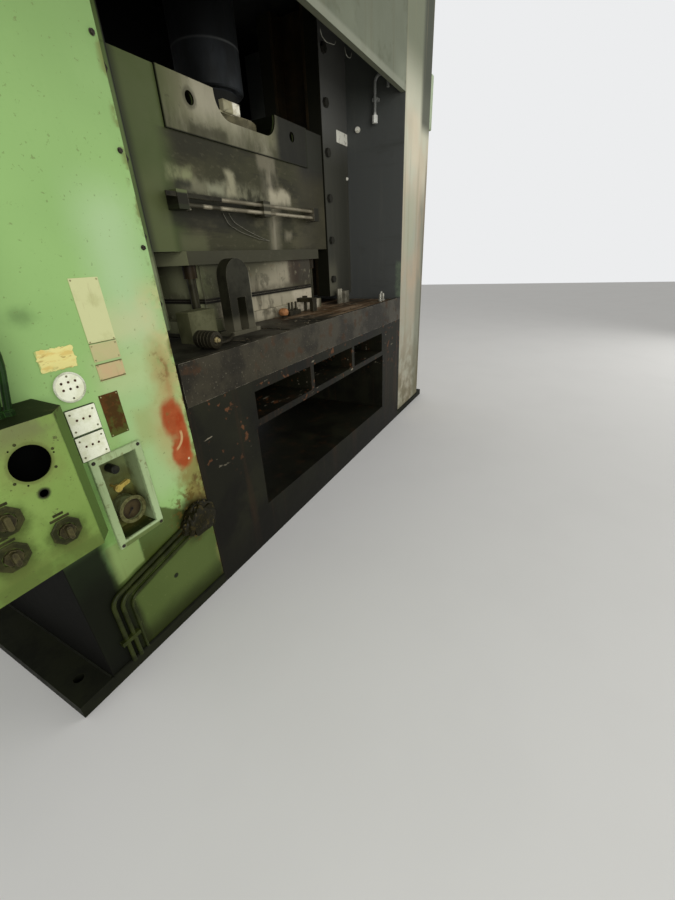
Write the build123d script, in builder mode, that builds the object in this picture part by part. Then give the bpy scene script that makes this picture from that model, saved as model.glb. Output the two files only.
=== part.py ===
from build123d import *
import os
from math import radians, tan

os.makedirs("parts", exist_ok=True)

# Hydraulic stamping press. Millimetres, +Z up, the front looks to -Y.
# The origin is on the floor, under the axis of the main cylinder.

# Frame
opening_width = 2660
frame_depth = 1560
upright_width = 650
frame_wall = 40
upright_corner = 6
foot_thickness = 60
foot_reach = 140
anchor_hole = 42
anchor_spacing_y = 1300
crown_underside = 3200
crown_height = 1000
crown_floor = 60
skirt_bottom = 2690
crown_rib = 30
deck_thickness = 30

# Bed and bolster
bolster_top = 1187
bolster_thickness = 180
bolster_setback = 80
bolster_side_gap = 10
bed_plate = 60
tunnel_width = 1800
tunnel_bottom = 250
tunnel_height = 500
rail_rise = 14
rail_wall = 25
rail_foot = 22
slot_spacing = 400
slot_count = 5
slot_neck = 28
slot_lip = 40
slot_head = 50
slot_head_height = 24
slot_play = 4

# Slide, shown at the bottom of its stroke
stroke = 600
slide_bottom = 1634
slide_height = 784
slide_half_width = 893
slide_depth = 500
slide_wall = 45
notch_width = 557
notch_depth = 127
notch_corner = 115
lifting_hole = 60
lifting_hole_x = 465
lifting_hole_drop = 84
cover_half_width = 657
cover_drop = 238
cover_thickness = 12

# Guides between the slide and the uprights
wing_reach = 115
wing_thickness = 256
gib_side_gap = 4
gib_clearance = 0.15
gib_liner = 20
gib_housing_extra = 10
gib_housing_bottom = 1250
gib_housing_wall = 40
gib_back_wall = 45
gib_screw_count = 6
gib_screw_spacing = 310
gib_screw_first = 140

# Main cylinder
plunger_diameter = 390
plunger_end = 2490
neck_diameter = 300
foot_diameter = 360
foot_height = 60
pocket_clearance = 0.5
bore_diameter = 500
barrel_diameter = 680
barrel_flange_diameter = 860
barrel_flange = 80
gland_flange_diameter = 600
gland_flange = 50
gland_spigot = 110
piston_height = 220
piston_gap = 20
head_gap = 30
cap_spigot = 110
cap_thickness = 80
cylinder_bolt_count = 12
seal_shares = (0.15, 0.6)
edge_chamfer = 8
small_chamfer = 2
running_clearance = 0.05
seal_width = 25
seal_depth = 12
fit_gap = 0.5
ring_diameter = 500
ring_thickness = 50
ring_split = 4
ring_bolt_circle_diameter = 430
ring_bolt_count = 8

# Hexagon bolts, one size on the cylinder and the gibs
bolt_diameter = 36
bolt_flats = 55
bolt_head = 23
bolt_grip = 55
bolt_play = 0.2
small_bolt_diameter = 24
small_bolt_flats = 36
small_bolt_head = 15
small_bolt_grip = 45
screw_diameter = 20
screw_head_diameter = 30
screw_head = 20
screw_grip = 30

# Bars across the face of the slide
bar_left = -735
bar_right = 657
bar_height = 1890
bar_diameter = 22
bar_pitch = 42
bar_standoff = 60
bar_block_width = 70

# Dies
die_parting = 1363
die_half_width = 700
die_depth = 560
die_shoe = 70
die_block_half_width = 600
die_block_depth = 500
post_diameter = 50
post_x = 645
post_y = 215
bush_diameter = 76
post_relief = 114
post_top_gap = 30
clamp_x = slot_spacing
clamp_width = 60
clamp_strap = 30
clamp_length = 150
stand_x = -565
stand_y = -432
stand_width = 190
stand_height = 402
stand_leg = 60
stand_thickness = 70

# Controls on the front of the left upright
niche_x = -1682
niche_z = 778
niche_width = 150
niche_height = 340
niche_depth = 85
niche_wall = 3
niche_frame_border = 26
niche_frame_thickness = 12
button_z = 882
button_diameter = 34
button_inset = 30
button_travel = 6
lever_z = 806
lever_offset = 12
lever_inset = 28
lever_length = 58
lever_width = 16
lever_thickness = 14
lever_hub = 30
lever_tilt = 12
collar = 6
gauge_z = 700
gauge_diameter = 100
gauge_offset = 8
gauge_depth = 62
gauge_rim = 7
gauge_recess = 12
spindle = 6
spindle_length = 23
needle_reach = 24
needle_thickness = 1.5
strip_x = -1600
strip_z = 1447
strip_height = 200
small_plate_heights = (1316, 1250)
small_plate = 58
label_x = -1758
label_z = 1324
label_width = 110
label_height = 66
rusty_plate_x = -1638
rusty_plate_z = 1098
rusty_plate_width = 70
rusty_plate_height = 156
socket_x = -1746
socket_plate_z = 1116
round_socket_x = -1752
round_socket_z = 1232
round_socket_diameter = 96
strip_width = 96
plate_thickness = 2
socket_pitch = 96
socket_width = 98
socket_thickness = 6
pin_hole = 9
pin_pitch = 22
pin_rise = 6
socket_gap = 8
pipe_diameter = 18
pipe_pitch = 32
pipe_slope = 13
riser_x = -1870
block_x = -1415
block_z = 495
block_width = 120
block_depth = 58
pipe_clip_height = 180

# Operator's console
console_left = -2360
console_right = -1865
console_bottom = 788
console_top = 1230
console_depth = 200
console_wall = 3
console_bevel = 45
console_panel_thickness = 4
gauge_hole = 100
gauge_hole_x = -2004
gauge_hole_z = 1123
lamp_hole = 22
lamp_hole_z = 1030
bezel_hole = 5
bezel_margin = 10
bezel_turn = 5
knob_places = {"selector_knob_right": (-1992, 895), "selector_knob_left": (-2127, 904),
               "selector_knob_upper": (-2108, 1004)}
knob_diameter = 46
knob_grip_length = 42
knob_grip_width = 15
knob_skirt = 10
knob_grip_height = 16
knob_stem = 10
conduit_diameter = 26
conduit_gland = 44
conduit_rise = 60
conduit_places = ((-2050, -880, 250, 180), (-2110, -850, 330, 250), (-2180, -890, 400, 340))
console_rim = 12
bracket_height = 260
bracket_wall = 10
bracket_reach = 240

# Fittings on the right upright
hook_diameter = 22
hook_standoff = 45
hook_y = -540
hook_width = 110
hook_bottom = 2575
hook_top = 2820
hook_drop = 90
hook_nut = 50
hook_clip_rise = 90
hook_clip = 20
box_bottom = 2600
box_top = 3000
box_width = 160
box_depth = 260
box_inset = 30
box_corner = 10
box_lid = 4

# Hydraulic unit on the deck
tank_length = 1100
tank_depth = 1000
tank_height = 450
tank_left = -1700
tank_wall = 6
tank_corner = 30
lid_overhang = 15
manhole_diameter = 360
motor_axis_y = -250
motor_axis_height = 250
motor_left = 950
motor_length = 500
motor_diameter = 340
rotor_diameter = 200
air_gap = 1
shaft_diameter = 48
pump_left = 560
pump_length = 200
bell_length = motor_left - pump_left - pump_length
fan_cover_length = 130
lid_thickness = 10
filler_diameter = 110
filler_neck = 92
filler_height = 60
suction_diameter = 60
suction_drop = 60
fin_count = 28
fin_height = 24
fin_root = 5
fin_thickness = 6
motor_shield = 30
terminal_width = 140
terminal_height = 120
terminal_depth = 70
fan_hub = 90
fan_blades = 8
fan_blade_length = 80
fan_thickness = 5
fan_depth = 60
fan_gap = 20
cover_wall = 6
grille_rings = (60, 95, 130)
grille_hole = 16
shaft_entry = 60
coupling_diameter = 120
bell_diameter = 250
bell_wall = 14
bell_rim = 30
bell_window = 110
pump_flange = 25
pump_width = 190
pump_height = 210
pump_foot_width = 120
pump_foot_depth = 150
main_pipe_diameter = 42
pipe_wall = 5
valve_x = 760
valve_y = 300
valve_block_width = 360
valve_block_depth = 200
valve_block_height = 150
valve_count = 3
valve_pitch = 110
valve_body_width = 70
valve_body_depth = 100
solenoid_diameter = 54
solenoid_reach = 140
main_pipe_rise = 180
main_port_height = 80
main_pipe_bend = 35
main_flange_diameter = 94
main_flange_height = 30
suction_entry = 60
suction_reach = 90
suction_pipe_bend = 40
suction_clearance = 120

# Worked out from the values above
half_opening = opening_width / 2
front = -frame_depth / 2
crown_top = crown_underside + crown_height
deck_top = crown_top + deck_thickness
upright_x = half_opening + upright_width / 2
upright_outer = half_opening + upright_width
bed_top = bolster_top - bolster_thickness
bolster_depth = frame_depth - 2 * bolster_setback
slide_top = slide_bottom + slide_height
slide_front = -slide_depth / 2
notch_floor = slide_top - notch_depth
gib_inner = slide_half_width + gib_side_gap
gib_half_depth = slide_depth / 2 + gib_housing_extra
wing_end = slide_half_width + wing_reach
liner_face_y = wing_thickness / 2 + gib_clearance
channel_half = liner_face_y + gib_liner
channel_end = wing_end + gib_clearance + gib_liner
barrel_bottom = crown_underside - barrel_flange
bore_start = barrel_bottom + gland_flange
gland_top = bore_start + gland_spigot
piston_bottom = gland_top + piston_gap
piston_top = piston_bottom + piston_height
cap_spigot_bottom = piston_top + stroke + head_gap
barrel_top = cap_spigot_bottom + cap_spigot
motor_z = deck_top + motor_axis_height
lever_x = niche_x - lever_offset
gauge_x = niche_x + gauge_offset
flange_bolt_circle = (barrel_diameter + barrel_flange_diameter) / 4
cap_bolt_circle = (barrel_diameter + bore_diameter) / 4
gland_screw_circle = (gland_flange_diameter + bore_diameter) / 4
ring_bolt_radius = ring_bolt_circle_diameter / 2
console_front = front - console_depth
panel_front = console_front - console_panel_thickness
rail_top = bolster_top + rail_rise


def save(part, label):
    part.label = label
    export_step(part, f"parts/{label}.step")


# Uprights: box columns, open at both ends
for side, name in ((-1, "left_upright"), (1, "right_upright")):
    with BuildPart() as upright:
        with BuildSketch(Plane.XY.offset(foot_thickness)):
            with Locations((side * upright_x, 0)):
                Rectangle(upright_width, frame_depth)
                Rectangle(upright_width - 2 * frame_wall, frame_depth - 2 * frame_wall,
                          mode=Mode.SUBTRACT)
            with Locations((side * upright_x, 0)):
                Rectangle(upright_width, frame_wall)
        extrude(amount=crown_top - foot_thickness)
        if side < 0:
            # window for the recess with the controls
            with BuildSketch(Plane.XZ.offset(-front)):
                with Locations((niche_x, niche_z)):
                    Rectangle(niche_width, niche_height)
            extrude(amount=-frame_wall, mode=Mode.SUBTRACT)
        corners = upright.edges().filter_by(Axis.Z).group_by(Axis.Y)[0]
        fillet(corners, upright_corner)
    save(upright.part, name)

# Foot plates under the uprights, reaching outwards for the anchors
with BuildPart() as foot_plates:
    with BuildSketch():
        for side in (-1, 1):
            with Locations((side * (upright_x + foot_reach / 2), 0)):
                Rectangle(upright_width + foot_reach, frame_depth)
            with Locations(*[(side * (upright_outer + foot_reach / 2), y)
                             for y in (-anchor_spacing_y / 2, anchor_spacing_y / 2)]):
                Circle(anchor_hole / 2, mode=Mode.SUBTRACT)
    extrude(amount=foot_thickness)
save(foot_plates.part, "foot_plates")

# Crown beam: core with a sleeve for the cylinder, between two plates that hang below it as skirts
with BuildPart() as crown_core:
    with BuildSketch(Plane.XY.offset(crown_underside)):
        Rectangle(opening_width, frame_depth - 2 * frame_wall)
    extrude(amount=crown_height)
    with BuildSketch(Plane.XY.offset(crown_underside + crown_floor)):
        Rectangle(opening_width - 2 * frame_wall, frame_depth)
        Circle(barrel_flange_diameter / 2, mode=Mode.SUBTRACT)
        with Locations((-opening_width / 4 - barrel_flange_diameter / 8, 0),
                       (opening_width / 4 + barrel_flange_diameter / 8, 0)):
            Rectangle(crown_rib, frame_depth, mode=Mode.SUBTRACT)
        Rectangle(crown_rib, frame_depth, mode=Mode.SUBTRACT)
    extrude(amount=crown_height - crown_floor, mode=Mode.SUBTRACT)
    with BuildSketch(Plane.XY.offset(crown_underside)):
        Circle(barrel_diameter / 2 + fit_gap)
    extrude(amount=crown_height, mode=Mode.SUBTRACT)
    with BuildSketch(Plane.XY.offset(crown_underside)):
        with PolarLocations(flange_bolt_circle, cylinder_bolt_count):
            Circle(bolt_diameter / 2 + bolt_play)
    extrude(amount=bolt_grip, mode=Mode.SUBTRACT)
with BuildPart() as crown_plates:
    with BuildSketch(Plane.XY.offset(skirt_bottom)):
        with Locations((0, front + frame_wall / 2), (0, -front - frame_wall / 2)):
            Rectangle(opening_width, frame_wall)
    extrude(amount=crown_top - skirt_bottom)
save(Compound([*crown_core.solids(), *crown_plates.solids()]), "crown_beam")

# Top deck over the uprights and the crown
with BuildPart() as top_deck:
    with BuildSketch(Plane.XY.offset(crown_top)):
        Rectangle(2 * upright_outer, frame_depth)
        Circle(barrel_diameter / 2 + fit_gap, mode=Mode.SUBTRACT)
    extrude(amount=deck_thickness)
save(top_deck.part, "top_deck")

# Bed beam with a tunnel for scrap from front to back
with BuildPart() as bed_beam:
    with BuildSketch():
        Rectangle(opening_width, frame_depth)
    extrude(amount=bed_top)
    with BuildSketch(Plane.XY.offset(bed_plate)):
        Rectangle(opening_width - 2 * frame_wall, frame_depth - 2 * frame_wall)
        with Locations((-tunnel_width / 2 - frame_wall / 2, 0), (tunnel_width / 2 + frame_wall / 2, 0)):
            Rectangle(frame_wall, frame_depth, mode=Mode.SUBTRACT)
        Rectangle(tunnel_width, frame_depth, mode=Mode.SUBTRACT)
    extrude(amount=bed_top - 2 * bed_plate, mode=Mode.SUBTRACT)
    with BuildSketch(Plane.XZ):
        with Locations((0, tunnel_bottom + tunnel_height / 2)):
            Rectangle(tunnel_width, tunnel_height)
        with Locations((0, (tunnel_bottom + tunnel_height + frame_wall + bed_top - bed_plate) / 2)):
            with GridLocations(tunnel_width / 3, 0, 3, 1):
                Rectangle(tunnel_width / 3 - frame_wall,
                          bed_top - bed_plate - tunnel_bottom - tunnel_height - frame_wall)
    extrude(amount=frame_depth / 2, both=True, mode=Mode.SUBTRACT)
save(bed_beam.part, "bed_beam")

# Bolster plate with T-slots from front to back
with BuildPart() as bolster_plate:
    with BuildSketch(Plane.XY.offset(bed_top)):
        Rectangle(opening_width - 2 * bolster_side_gap, bolster_depth)
    extrude(amount=bolster_thickness)
    with BuildSketch(Plane.XZ):
        with Locations((0, bolster_top)):
            with GridLocations(slot_spacing, 0, slot_count, 1):
                with Locations((0, -slot_lip / 2)):
                    Rectangle(slot_neck, slot_lip)
                with Locations((0, -slot_lip - slot_head_height / 2)):
                    Rectangle(slot_head, slot_head_height)
    extrude(amount=bolster_depth / 2, both=True, mode=Mode.SUBTRACT)
save(bolster_plate.part, "bolster_plate")

# Angle rail on the front edge of the bed, against the bolster
with BuildPart() as bolster_front_rail:
    with BuildSketch(Plane.YZ):
        with BuildLine():
            Polyline((front, bed_top), (-bolster_depth / 2, bed_top),
                     (-bolster_depth / 2, bed_top + rail_foot), (front + rail_wall, bed_top + rail_foot),
                     (front + rail_wall, rail_top), (front, rail_top), close=True)
        make_face()
    extrude(amount=half_opening - bolster_side_gap, both=True)
save(bolster_front_rail.part, "bolster_front_rail")

# Gib housings: columns on the uprights with a channel for the slide's wing
gib_screw_x = (gib_inner + channel_end) / 2


def gib_screw_places(side):
    return [(side * gib_screw_x, gib_housing_bottom + gib_screw_first + i * gib_screw_spacing)
            for i in range(gib_screw_count)]


for side, name in ((-1, "left_gib_housing"), (1, "right_gib_housing")):
    with BuildPart() as gib_housing:
        with BuildSketch(Plane.XY.offset(gib_housing_bottom)):
            with Locations((side * (gib_inner + half_opening) / 2, 0)):
                Rectangle(half_opening - gib_inner, 2 * gib_half_depth)
            with Locations((side * (gib_inner + channel_end) / 2, 0)):
                Rectangle(channel_end - gib_inner, 2 * channel_half, mode=Mode.SUBTRACT)
            with Locations((side * (channel_end + gib_back_wall + half_opening - gib_housing_wall) / 2, 0)):
                Rectangle(half_opening - gib_housing_wall - channel_end - gib_back_wall,
                          2 * (gib_half_depth - gib_housing_wall), mode=Mode.SUBTRACT)
        extrude(amount=crown_underside - gib_housing_bottom)
        with BuildSketch(Plane.XZ.offset(gib_half_depth)):
            with Locations(*gib_screw_places(side)):
                Circle(bolt_diameter / 2 + bolt_play)
        extrude(amount=-bolt_grip, mode=Mode.SUBTRACT)
    save(gib_housing.part, name)

# Bronze liners in the channels
with BuildPart() as gib_liners:
    with BuildSketch(Plane.XY.offset(gib_housing_bottom)):
        for side in (-1, 1):
            with Locations((side * (channel_end - gib_liner / 2), 0)):
                Rectangle(gib_liner, 2 * channel_half)
            with Locations((side * (gib_inner + wing_end) / 2, liner_face_y + gib_liner / 2),
                           (side * (gib_inner + wing_end) / 2, -liner_face_y - gib_liner / 2)):
                Rectangle(wing_end - gib_inner, gib_liner)
    extrude(amount=crown_underside - gib_housing_bottom)
save(gib_liners.part, "gib_liners")

# Hexagon bolts: cylinder flange, cylinder cap and gib screws, one size
with BuildPart() as hex_bolts:
    for plane, radius, shank in (
            (Plane(origin=(0, 0, barrel_bottom), x_dir=(1, 0, 0), z_dir=(0, 0, -1)),
             flange_bolt_circle, barrel_flange + bolt_grip),
            (Plane.XY.offset(barrel_top + cap_thickness), cap_bolt_circle, cap_thickness + bolt_grip)):
        with BuildSketch(plane):
            with PolarLocations(radius, cylinder_bolt_count):
                RegularPolygon(bolt_flats / 2, 6, major_radius=False)
        extrude(amount=bolt_head)
        with BuildSketch(plane):
            with PolarLocations(radius, cylinder_bolt_count):
                Circle(bolt_diameter / 2)
        extrude(amount=-shank)
    with BuildSketch(Plane.XZ.offset(gib_half_depth)):
        with Locations(*gib_screw_places(-1), *gib_screw_places(1)):
            RegularPolygon(bolt_flats / 2, 6, major_radius=False)
    extrude(amount=bolt_head)
    with BuildSketch(Plane.XZ.offset(gib_half_depth)):
        with Locations(*gib_screw_places(-1), *gib_screw_places(1)):
            Circle(bolt_diameter / 2)
    extrude(amount=-bolt_grip)
save(hex_bolts.part, "hex_bolts")

# Cylinder barrel, flanged below, with a seat for the gland
with BuildPart() as cylinder_barrel:
    with BuildSketch(Plane.XY.offset(barrel_bottom)):
        Circle(barrel_flange_diameter / 2)
    extrude(amount=barrel_flange)
    with BuildSketch(Plane.XY.offset(crown_underside)):
        Circle(barrel_diameter / 2)
    extrude(amount=barrel_top - crown_underside)
    with BuildSketch(Plane.XY.offset(barrel_bottom)):
        Circle(bore_diameter / 2)
    extrude(amount=barrel_top - barrel_bottom, mode=Mode.SUBTRACT)
    with BuildSketch(Plane.XY.offset(barrel_bottom)):
        Circle(gland_flange_diameter / 2 + fit_gap)
    extrude(amount=gland_flange, mode=Mode.SUBTRACT)
    with BuildSketch(Plane.XY.offset(barrel_bottom)):
        with PolarLocations(flange_bolt_circle, cylinder_bolt_count):
            Circle(bolt_diameter / 2 + bolt_play)
    extrude(amount=barrel_flange, mode=Mode.SUBTRACT)
    with BuildSketch(Plane.XY.offset(barrel_top)):
        with PolarLocations(cap_bolt_circle, cylinder_bolt_count):
            Circle(bolt_diameter / 2 + bolt_play)
    extrude(amount=-bolt_grip, mode=Mode.SUBTRACT)
    with BuildSketch(Plane.XY.offset(bore_start)):
        with PolarLocations(gland_screw_circle, cylinder_bolt_count):
            Circle(screw_diameter / 2 + bolt_play)
    extrude(amount=screw_grip, mode=Mode.SUBTRACT)
save(cylinder_barrel.part, "cylinder_barrel")

# Gland, recessed in the flange, with two seal grooves
seal_levels = [bore_start + gland_spigot * share for share in seal_shares]
with BuildPart() as cylinder_gland:
    with BuildSketch(Plane.XY.offset(barrel_bottom)):
        Circle(gland_flange_diameter / 2)
    extrude(amount=gland_flange)
    with BuildSketch(Plane.XY.offset(bore_start)):
        Circle(bore_diameter / 2 - fit_gap)
    extrude(amount=gland_spigot)
    with BuildSketch(Plane.XY.offset(barrel_bottom)):
        Circle(plunger_diameter / 2 + fit_gap)
    extrude(amount=gland_flange + gland_spigot, mode=Mode.SUBTRACT)
    for level in seal_levels:
        with BuildSketch(Plane.XY.offset(level)):
            Circle(plunger_diameter / 2 + seal_depth)
        extrude(amount=seal_width, mode=Mode.SUBTRACT)
    with BuildSketch(Plane.XY.offset(barrel_bottom)):
        with PolarLocations(gland_screw_circle, cylinder_bolt_count):
            Circle(screw_diameter / 2 + bolt_play)
    extrude(amount=gland_flange, mode=Mode.SUBTRACT)
    with BuildSketch(Plane.XY.offset(barrel_bottom)):
        with PolarLocations(gland_screw_circle, cylinder_bolt_count):
            Circle(screw_head_diameter / 2 + bolt_play)
    extrude(amount=screw_head, mode=Mode.SUBTRACT)
save(cylinder_gland.part, "cylinder_gland")

# Socket screws of the gland
with BuildPart() as gland_screws:
    with BuildSketch(Plane.XY.offset(barrel_bottom)):
        with PolarLocations(gland_screw_circle, cylinder_bolt_count):
            Circle(screw_head_diameter / 2)
            RegularPolygon(screw_head_diameter / 4, 6, major_radius=False, mode=Mode.SUBTRACT)
    extrude(amount=screw_head / 2)
    with BuildSketch(Plane.XY.offset(barrel_bottom + screw_head / 2)):
        with PolarLocations(gland_screw_circle, cylinder_bolt_count):
            Circle(screw_head_diameter / 2)
    extrude(amount=screw_head / 2)
    with BuildSketch(Plane.XY.offset(barrel_bottom + screw_head)):
        with PolarLocations(gland_screw_circle, cylinder_bolt_count):
            Circle(screw_diameter / 2)
    extrude(amount=gland_flange - screw_head + screw_grip)
save(gland_screws.part, "gland_screws")

# Rod seals in the gland
with BuildPart() as rod_seals:
    for level in seal_levels:
        with BuildSketch(Plane.XY.offset(level)):
            Circle(plunger_diameter / 2 + seal_depth - running_clearance)
            Circle(plunger_diameter / 2 + running_clearance, mode=Mode.SUBTRACT)
        extrude(amount=seal_width)
save(rod_seals.part, "rod_seals")

# Cylinder cap with its spigot and a pressure port
with BuildPart() as cylinder_cap:
    with BuildSketch(Plane.XY.offset(cap_spigot_bottom)):
        Circle(bore_diameter / 2 - fit_gap)
    extrude(amount=cap_spigot)
    with BuildSketch(Plane.XY.offset(barrel_top)):
        Circle(barrel_diameter / 2)
    extrude(amount=cap_thickness)
    with BuildSketch(Plane.XY.offset(barrel_top + cap_thickness)):
        with PolarLocations(cap_bolt_circle, cylinder_bolt_count):
            Circle(bolt_diameter / 2 + bolt_play)
        Circle(main_pipe_diameter / 2 - pipe_wall)
    extrude(amount=-cap_thickness, mode=Mode.SUBTRACT)
save(cylinder_cap.part, "cylinder_cap")

# Plunger: foot, neck, rod and piston in one forging
seal_spots = [piston_bottom + piston_height * share for share in seal_shares]
foot_bottom = notch_floor - 2 * foot_height
with BuildPart() as plunger:
    for level, height, diameter in (
            (foot_bottom, foot_height, foot_diameter),
            (foot_bottom + foot_height, plunger_end - foot_bottom - foot_height, neck_diameter),
            (plunger_end, piston_bottom - plunger_end, plunger_diameter),
            (piston_bottom, piston_height, bore_diameter - 2 * fit_gap)):
        with BuildSketch(Plane.XY.offset(level)):
            Circle(diameter / 2)
        extrude(amount=height)
    for level in seal_spots:
        with BuildSketch(Plane.XY.offset(level)):
            Circle(bore_diameter / 2)
            Circle(bore_diameter / 2 - seal_depth, mode=Mode.SUBTRACT)
        extrude(amount=seal_width, mode=Mode.SUBTRACT)
    rims = plunger.edges().filter_by(GeomType.CIRCLE)
    rims = rims.filter_by_position(Axis.Z, plunger_end - edge_chamfer, plunger_end + edge_chamfer)
    chamfer(rims.sort_by(SortBy.RADIUS)[-1], edge_chamfer)
save(plunger.part, "plunger")

# Piston seals
with BuildPart() as piston_seals:
    for level in seal_spots:
        with BuildSketch(Plane.XY.offset(level)):
            Circle(bore_diameter / 2 - running_clearance)
            Circle(bore_diameter / 2 - seal_depth + running_clearance, mode=Mode.SUBTRACT)
        extrude(amount=seal_width)
save(piston_seals.part, "piston_seals")

# Slide: welded box, open cells at the back, notch and pocket for the plunger
cell_left = foot_diameter / 2 + 3 * slide_wall
cell_width = (slide_half_width - slide_wall - cell_left - slide_wall) / 2
cell_bottom = slide_bottom + 2 * slide_wall
cell_height = notch_floor - slide_wall - cell_bottom
with BuildPart() as slide_body:
    with BuildSketch(Plane.XY.offset(slide_bottom)):
        Rectangle(2 * slide_half_width, slide_depth)
        Rectangle(2 * wing_end, wing_thickness)
    extrude(amount=slide_height)
    with BuildSketch(Plane.XZ):
        with BuildLine():
            Polyline((-notch_width / 2, slide_top), (-notch_width / 2, notch_floor),
                     (notch_width / 2, notch_floor), (notch_width / 2, slide_top), close=True)
        make_face()
        low = [v for v in vertices() if v.Y < notch_floor + notch_corner]
        fillet(low, notch_corner)
    extrude(amount=slide_depth / 2, both=True, mode=Mode.SUBTRACT)
    with BuildSketch(Plane.XZ.offset(slide_depth / -2)):
        for side in (-1, 1):
            for x in (cell_left + cell_width / 2, cell_left + cell_width * 3 / 2 + slide_wall):
                with Locations((side * x, cell_bottom + cell_height / 2)):
                    RectangleRounded(cell_width, cell_height, slide_wall / 2)
    extrude(amount=slide_depth - slide_wall, mode=Mode.SUBTRACT)
    with BuildSketch(Plane.XY.offset(foot_bottom)):
        Circle(foot_diameter / 2 + pocket_clearance)
    extrude(amount=slide_top - foot_bottom, mode=Mode.SUBTRACT)
    with BuildSketch(Plane.XY.offset(notch_floor)):
        Circle(ring_diameter / 2 + fit_gap)
    extrude(amount=notch_depth, mode=Mode.SUBTRACT)
    with BuildSketch(Plane.XY.offset(notch_floor)):
        with PolarLocations(ring_bolt_radius, ring_bolt_count, start_angle=180 / ring_bolt_count):
            Circle(small_bolt_diameter / 2 + bolt_play)
    extrude(amount=-small_bolt_grip, mode=Mode.SUBTRACT)
    with BuildSketch(Plane.XZ.offset(-slide_front)):
        with Locations((-lifting_hole_x, slide_top - lifting_hole_drop),
                       (lifting_hole_x, slide_top - lifting_hole_drop)):
            Circle(lifting_hole / 2)
    extrude(amount=-slide_wall, mode=Mode.SUBTRACT)
    wings = slide_body.edges().filter_by(Axis.Z).group_by(Axis.X)
    chamfer(wings[0] + wings[-1], edge_chamfer / 2)
save(slide_body.part, "slide_body")

# Cover panel on the slide's face, with the same notch and lifting holes
with BuildPart() as slide_cover_panel:
    with BuildSketch(Plane.XZ.offset(-slide_front)):
        with Locations((0, slide_top - cover_drop / 2)):
            Rectangle(2 * cover_half_width, cover_drop)
        with BuildSketch(Plane.XZ.offset(-slide_front), mode=Mode.SUBTRACT):
            with BuildLine():
                Polyline((-notch_width / 2, slide_top), (-notch_width / 2, notch_floor),
                         (notch_width / 2, notch_floor), (notch_width / 2, slide_top), close=True)
            make_face()
            low = [v for v in vertices() if v.Y < notch_floor + notch_corner]
            fillet(low, notch_corner)
        with Locations((-lifting_hole_x, slide_top - lifting_hole_drop),
                       (lifting_hole_x, slide_top - lifting_hole_drop)):
            Circle(lifting_hole / 2, mode=Mode.SUBTRACT)
    extrude(amount=cover_thickness)
save(slide_cover_panel.part, "slide_cover_panel")

# Split retaining ring: it holds the plunger's foot down in the slide
with BuildPart() as retaining_ring:
    with BuildSketch(Plane.XY.offset(notch_floor)):
        Circle(ring_diameter / 2)
    extrude(amount=ring_thickness)
    with BuildSketch(Plane.XY.offset(foot_bottom + foot_height)):
        Circle(foot_diameter / 2)
    extrude(amount=notch_floor - foot_bottom - foot_height)
    with BuildSketch(Plane.XY.offset(foot_bottom + foot_height)):
        Circle(neck_diameter / 2 + pocket_clearance)
        Rectangle(ring_split, ring_diameter)
        with PolarLocations(ring_bolt_radius, ring_bolt_count, start_angle=180 / ring_bolt_count):
            Circle(small_bolt_diameter / 2 + bolt_play)
    extrude(amount=notch_floor + ring_thickness - foot_bottom - foot_height, mode=Mode.SUBTRACT)
save(retaining_ring.part, "retaining_ring")

with BuildPart() as retaining_bolts:
    with BuildSketch(Plane.XY.offset(notch_floor + ring_thickness)):
        with PolarLocations(ring_bolt_radius, ring_bolt_count, start_angle=180 / ring_bolt_count):
            RegularPolygon(small_bolt_flats / 2, 6, major_radius=False)
    extrude(amount=small_bolt_head)
    with BuildSketch(Plane.XY.offset(notch_floor + ring_thickness)):
        with PolarLocations(ring_bolt_radius, ring_bolt_count, start_angle=180 / ring_bolt_count):
            Circle(small_bolt_diameter / 2)
    extrude(amount=-ring_thickness - small_bolt_grip)
save(retaining_bolts.part, "retaining_bolts")

# Two bars on three blocks across the slide's face
with BuildPart() as slide_bars:
    with BuildSketch(Plane.YZ.offset(bar_left)):
        with Locations((slide_front - bar_standoff, bar_height),
                       (slide_front - bar_standoff, bar_height - bar_pitch)):
            Circle(bar_diameter / 2)
    extrude(amount=bar_right - bar_left)
    with BuildSketch(Plane.XZ.offset(-slide_front)):
        with Locations(*[(x, bar_height - bar_pitch / 2) for x in
                         (bar_left + bar_block_width / 2, 0, bar_right - bar_block_width / 2)]):
            Rectangle(bar_block_width, bar_pitch + 2 * bar_diameter)
    extrude(amount=bar_standoff + bar_diameter)
save(slide_bars.part, "slide_bars")

# Dies: shoe and block in one piece each, with the guide posts between them
with BuildPart() as lower_die:
    with BuildSketch(Plane.XY.offset(bolster_top)):
        Rectangle(2 * die_half_width, die_depth)
    extrude(amount=die_shoe)
    with BuildSketch(Plane.XY.offset(bolster_top + die_shoe)):
        Rectangle(2 * die_block_half_width, die_block_depth)
        with GridLocations(2 * post_x, 2 * post_y, 2, 2):
            Circle(post_relief / 2, mode=Mode.SUBTRACT)
    extrude(amount=die_parting - bolster_top - die_shoe)
    with BuildSketch(Plane.XY.offset(bolster_top)):
        with GridLocations(2 * post_x, 2 * post_y, 2, 2):
            Circle(post_diameter / 2 + running_clearance)
    extrude(amount=die_parting - bolster_top, mode=Mode.SUBTRACT)
save(lower_die.part, "lower_die")

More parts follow.
